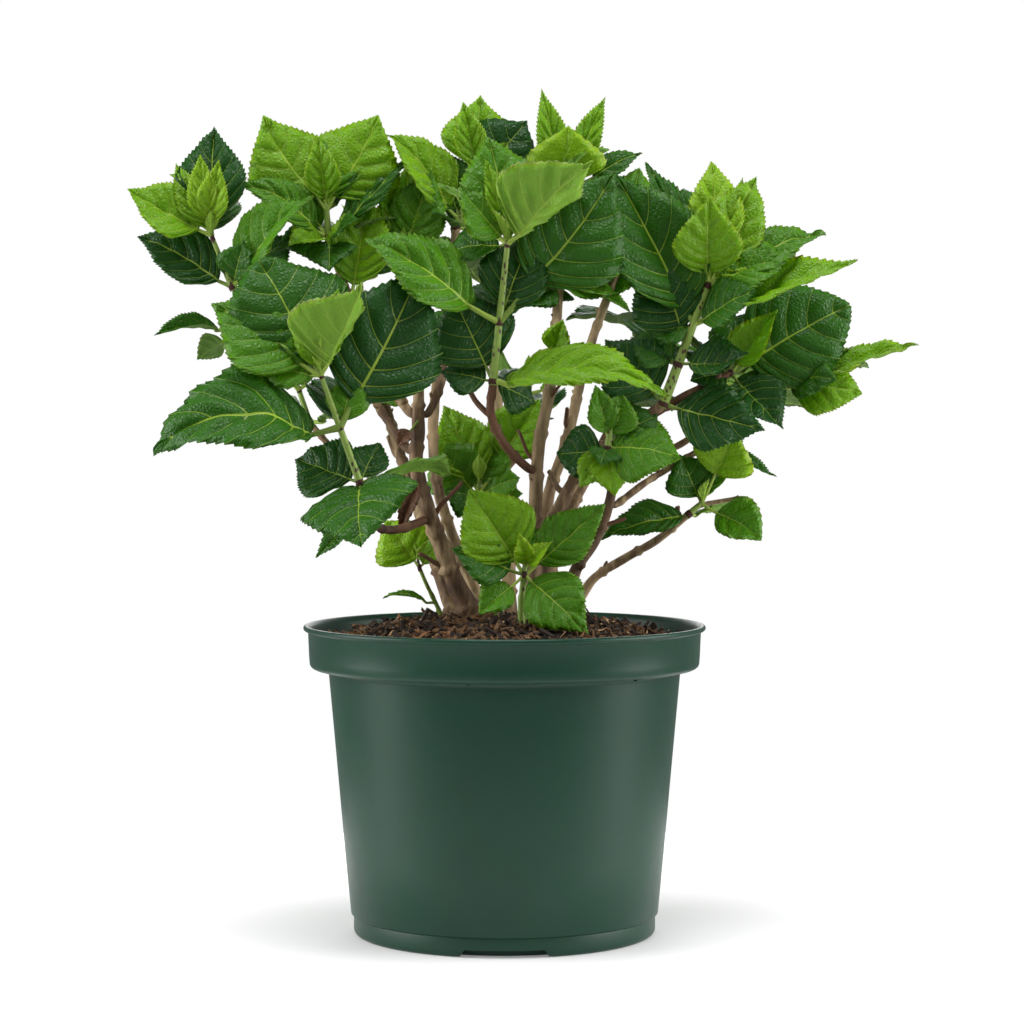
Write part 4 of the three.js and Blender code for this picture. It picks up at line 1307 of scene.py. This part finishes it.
class HYDRANGEA_OT_leaves(bpy.types.Operator):
    """Grows every shoot on from its limb, with its leaves on their stalks"""
    bl_idname = "hydrangea.leaves"
    bl_label = "Shoots and leaves"

    def execute(self, context):
        settings = context.scene.hydrangea_leaves
        stems = context.scene.hydrangea_stems
        rng = np.random.default_rng(settings.seed)
        materials = leaf_materials(settings)
        stalks = Sheaf()
        shoots = dict(SHOOTS)
        for name, (limb, turn, reach, pairs) in PAIRED.items():
            along = shoot_place(limb)[1]
            lean = unit(along + PAIR_LIFT)
            height = PAIR_STEP * pairs - TUFT_DROP
            shoots[name] = (limb, lean, height, 0, leaf_pairs(turn, reach, pairs, rng))
        for name, (limb, lean, height, behind, rows) in shoots.items():
            foot, _, radius = shoot_place(limb)
            along = unit(np.array(lean, float))
            size = max(np.linalg.norm(row[1]) for row in rows)
            joints = sorted({row[0] for row in rows if not isinstance(row[0], tuple)})
            longest = min(BEHIND_LONGEST, max(BEHIND_SHORTEST, size))
            rows = rows + leaves_behind(joints, behind, longest, rng)
            if height:
                rows = rows + young_tuft(rng, height, TUFT_LEAST + TUFT_GAIN * size)
                self.grow_stem(stalks, foot, along, radius, height * MM, [joint * MM for joint in joints])
            sheaf = Sheaf()
            for up, reach_to, width, tone, face, changes in rows:
                offset = np.array(up, float) if isinstance(up, tuple) else along * up
                add_leaf(sheaf, stalks, foot + offset * MM, reach_to, width, tone, face, rng, settings,
                         **changes)
            piece = sheaf.build(name + "_foliage", materials)
            finish_piece(piece, "leaves", "leaves_" + name)
        green = tuple(stems.shoot_green)
        purple = tuple(stems.shoot_purple)
        twig_materials = [
            leaf_material("stalk_light", blended(green, linear(170, 196, 84), 0.6), 0.45, 0.1, 0.1),
            leaf_material("stalk_dark", scaled(green, 0.8), 0.5, 0.1, 0.1),
            shoot_material("shoot_spotted", green, purple),
            leaf_material("shoot_joint", purple, 0.55, 0.2, 0.0),
        ]
        twigs = stalks.build("twigs", twig_materials)
        finish_piece(twigs, "green_wood")
        return {"FINISHED"}

    def grow_stem(self, stalks, foot, along, radius, height, joints):
        """The green shoot from the limb's tip to its tuft, with a purple ring at its joints."""
        low = foot - along * 3 * MM
        route = np.array([low + along * (height + 5 * MM) * share for share in (0, 0.25, 0.5, 0.75, 1)])
        add_tube(stalks, route, np.linspace(radius, 0.62 * radius, 5), SHOOT_SIDES, SHOOT, 4)
        rings = [up for up, below in zip(joints, [-1, *joints]) if up - below > RING_GAP]
        for up in rings:
            middle = foot + along * up
            thick = radius * (1 - 0.35 * up / max(height, 1e-6)) * 1.07
            ring = np.array([middle + along * offset for offset in (-3 * MM, -1 * MM, 1 * MM, 2.4 * MM)])
            add_tube(stalks, ring, np.array([0.9, 1, 0.98, 0.8]) * thick, SHOOT_SIDES, SHOOT_JOINT, 2)


VEIN_GREEN = linear(170, 196, 70)
PALE_GREEN = linear(150, 176, 96)
SIDE_VEIN_TINT = 0.46    # how far the veins go from a leaf's own colour to the vein's green
MIDRIB_TINT = 0.7
UNDER_VEIN_TINT = 0.4
UNDER_TINT = 0.3         # how far the underside goes to the pale green
GLOWS = {"deep": 0.05, "dark": 0.08, "mid": 0.15, "fresh": 0.25, "young": 0.3, "brown": 0.0}


def leaf_materials(settings):
    """For each tone the upper face, its side veins and midrib, the underside and its veins."""
    materials = []
    for tone in TONES:
        colour = tuple(getattr(settings, tone))
        glow = GLOWS[tone]
        veined = tone != "brown"
        side_vein = blended(colour, VEIN_GREEN, SIDE_VEIN_TINT * veined)
        midrib = blended(colour, VEIN_GREEN, MIDRIB_TINT * veined)
        under = blended(colour, PALE_GREEN, UNDER_TINT * veined)
        under_vein = blended(under, VEIN_GREEN, UNDER_VEIN_TINT * veined)
        gloss = settings.roughness
        materials += [
            leaf_material(f"leaf_{tone}_upper", colour, gloss, 0.5, glow),
            leaf_material(f"leaf_{tone}_side_vein", side_vein, gloss, 0.05, glow),
            leaf_material(f"leaf_{tone}_midrib", midrib, gloss, 0.05, glow),
            leaf_material(f"leaf_{tone}_under", under, 0.6, 0.4, glow),
            leaf_material(f"leaf_{tone}_under_vein", under_vein, 0.55, 0.05, glow),
        ]
    return materials


# ---------------------------------------------------------------- stage

FLOOR_RADIUS = 0.52
FLOOR_COLOUR = (0.76, 0.76, 0.76)
DOME_RADIUS = 9
SENSOR = 36              # width of the camera's sensor, in millimetres
VIEW_END = 50
FLOOR_GLOW = (0.5, 0.2, 0.25, 0.75)    # light of its own at the edge and the middle, and where it changes
WORLD_LIGHT = 0.28
PLANT_MIDDLE = (0, 0, 0.35)
POT_MIDDLE = (0, 0, 0.2)

# Each lamp: its place, what it is turned to, its width in metres and its power in watts.
LAMPS = {
    "top": ((0, -0.4, 2.5), PLANT_MIDDLE, 1.4, 36),
    "left": ((-2.2, -0.3, 0.7), POT_MIDDLE, 2.0, 55),
    "right": ((2.2, -0.3, 0.7), POT_MIDDLE, 2.0, 55),
    "back": ((0, 2.3, 1.3), PLANT_MIDDLE, 1.8, 22),
    "front": ((-0.5, -2.6, 2.0), PLANT_MIDDLE, 0.8, 4),
}


def area_light(name, place, target, size, power):
    data = bpy.data.lights.new(name, "AREA")
    data.shape = "DISK"
    data.size = size
    data.energy = power
    light = link_object(name, data)
    light.location = place
    light.rotation_euler = (Vector(target) - Vector(place)).to_track_quat("-Z", "Y").to_euler()


class HYDRANGEA_OT_stage(bpy.types.Operator):
    """Sets the pale floor, the soft light and the camera"""
    bl_idname = "hydrangea.stage"
    bl_label = "Stage"

    def execute(self, context):
        settings = context.scene.hydrangea_stage
        scene = context.scene
        shape = bmesh.new()
        bmesh.ops.create_circle(shape, cap_ends=True, segments=96, radius=FLOOR_RADIUS)
        floor = object_from_bmesh("floor", shape, [self.floor_material()], smooth=False)
        self.add_dome()
        world = bpy.data.worlds.new("studio")
        world.use_nodes = True
        background = world.node_tree.nodes["Background"]
        background.inputs["Color"].default_value = (1, 1, 1, 1)
        background.inputs["Strength"].default_value = WORLD_LIGHT
        scene.world = world
        for name, lamp in LAMPS.items():
            area_light(name, *lamp)
        camera_data = bpy.data.cameras.new("camera")
        camera_data.lens = settings.lens
        camera_data.sensor_width = SENSOR
        camera_data.clip_end = VIEW_END
        camera = link_object("camera", camera_data)
        camera.location = (0, -settings.distance, settings.height)
        aim = Vector((settings.aim_side, 0, settings.aim_height))
        camera.rotation_euler = (aim - camera.location).to_track_quat("-Z", "Y").to_euler()
        scene.camera = camera
        scene.view_settings.view_transform = "Standard"
        return {"FINISHED"}

    def floor_material(self):
        """White, with a little light of its own, so that only the shade under the pot is seen."""
        material, tree, shader = new_material("white_floor", FLOOR_COLOUR, 0.9)
        shader.inputs["Specular IOR Level"].default_value = 0.1
        shader.inputs["Emission Color"].default_value = (1, 1, 1, 1)
        rings = tree.nodes.new("ShaderNodeTexGradient")
        rings.gradient_type = "SPHERICAL"
        tree.links.new(object_place(tree, (1 / FLOOR_RADIUS, 1 / FLOOR_RADIUS, 1)), rings.inputs["Vector"])
        glow = map_range(tree, rings.outputs["Fac"], *FLOOR_GLOW)
        tree.links.new(glow, shader.inputs["Emission Strength"])
        return material

    def add_dome(self):
        """A white dome that the camera sees and the light passes."""
        shape = bmesh.new()
        bmesh.ops.create_icosphere(shape, subdivisions=4, radius=DOME_RADIUS)
        bmesh.ops.reverse_faces(shape, faces=shape.faces)
        material, _, shader = new_material("white_backdrop", (0, 0, 0), 1.0)
        shader.inputs["Specular IOR Level"].default_value = 0
        shader.inputs["Emission Color"].default_value = (1, 1, 1, 1)
        shader.inputs["Emission Strength"].default_value = 1
        dome = object_from_bmesh("backdrop", shape, [material])
        dome.visible_diffuse = False
        dome.visible_glossy = False
        dome.visible_transmission = False
        dome.visible_shadow = False


# ---------------------------------------------------------------- panel and registration

PIECES = ("pot", "soil", "stems", "leaves", "stage")


class HYDRANGEA_PT_panel(bpy.types.Panel):
    """Lists the makers of the shrub's pieces"""
    bl_idname = "HYDRANGEA_PT_panel"
    bl_label = "Hydrangea"
    bl_space_type = "VIEW_3D"
    bl_region_type = "UI"
    bl_category = "Hydrangea"

    def draw(self, context):
        for piece in PIECES:
            self.layout.operator(f"hydrangea.{piece}")
        for name, group in SETTINGS.items():
            box = self.layout.box()
            for field in group.__annotations__:
                box.prop(getattr(context.scene, name), field)


OPERATORS = (HYDRANGEA_OT_pot, HYDRANGEA_OT_soil, HYDRANGEA_OT_stems, HYDRANGEA_OT_leaves, HYDRANGEA_OT_stage)


def register():
    for group in (*SETTINGS.values(), *OPERATORS, HYDRANGEA_PT_panel):
        bpy.utils.register_class(group)
    for name, group in SETTINGS.items():
        setattr(bpy.types.Scene, name, bpy.props.PointerProperty(type=group))


def unregister():
    for name in SETTINGS:
        delattr(bpy.types.Scene, name)
    for group in reversed((*SETTINGS.values(), *OPERATORS, HYDRANGEA_PT_panel)):
        bpy.utils.unregister_class(group)


def main():
    """Builds every piece in order."""
    register()
    for piece in PIECES:
        getattr(bpy.ops.hydrangea, piece)()


if __name__ == "__main__":
    main()
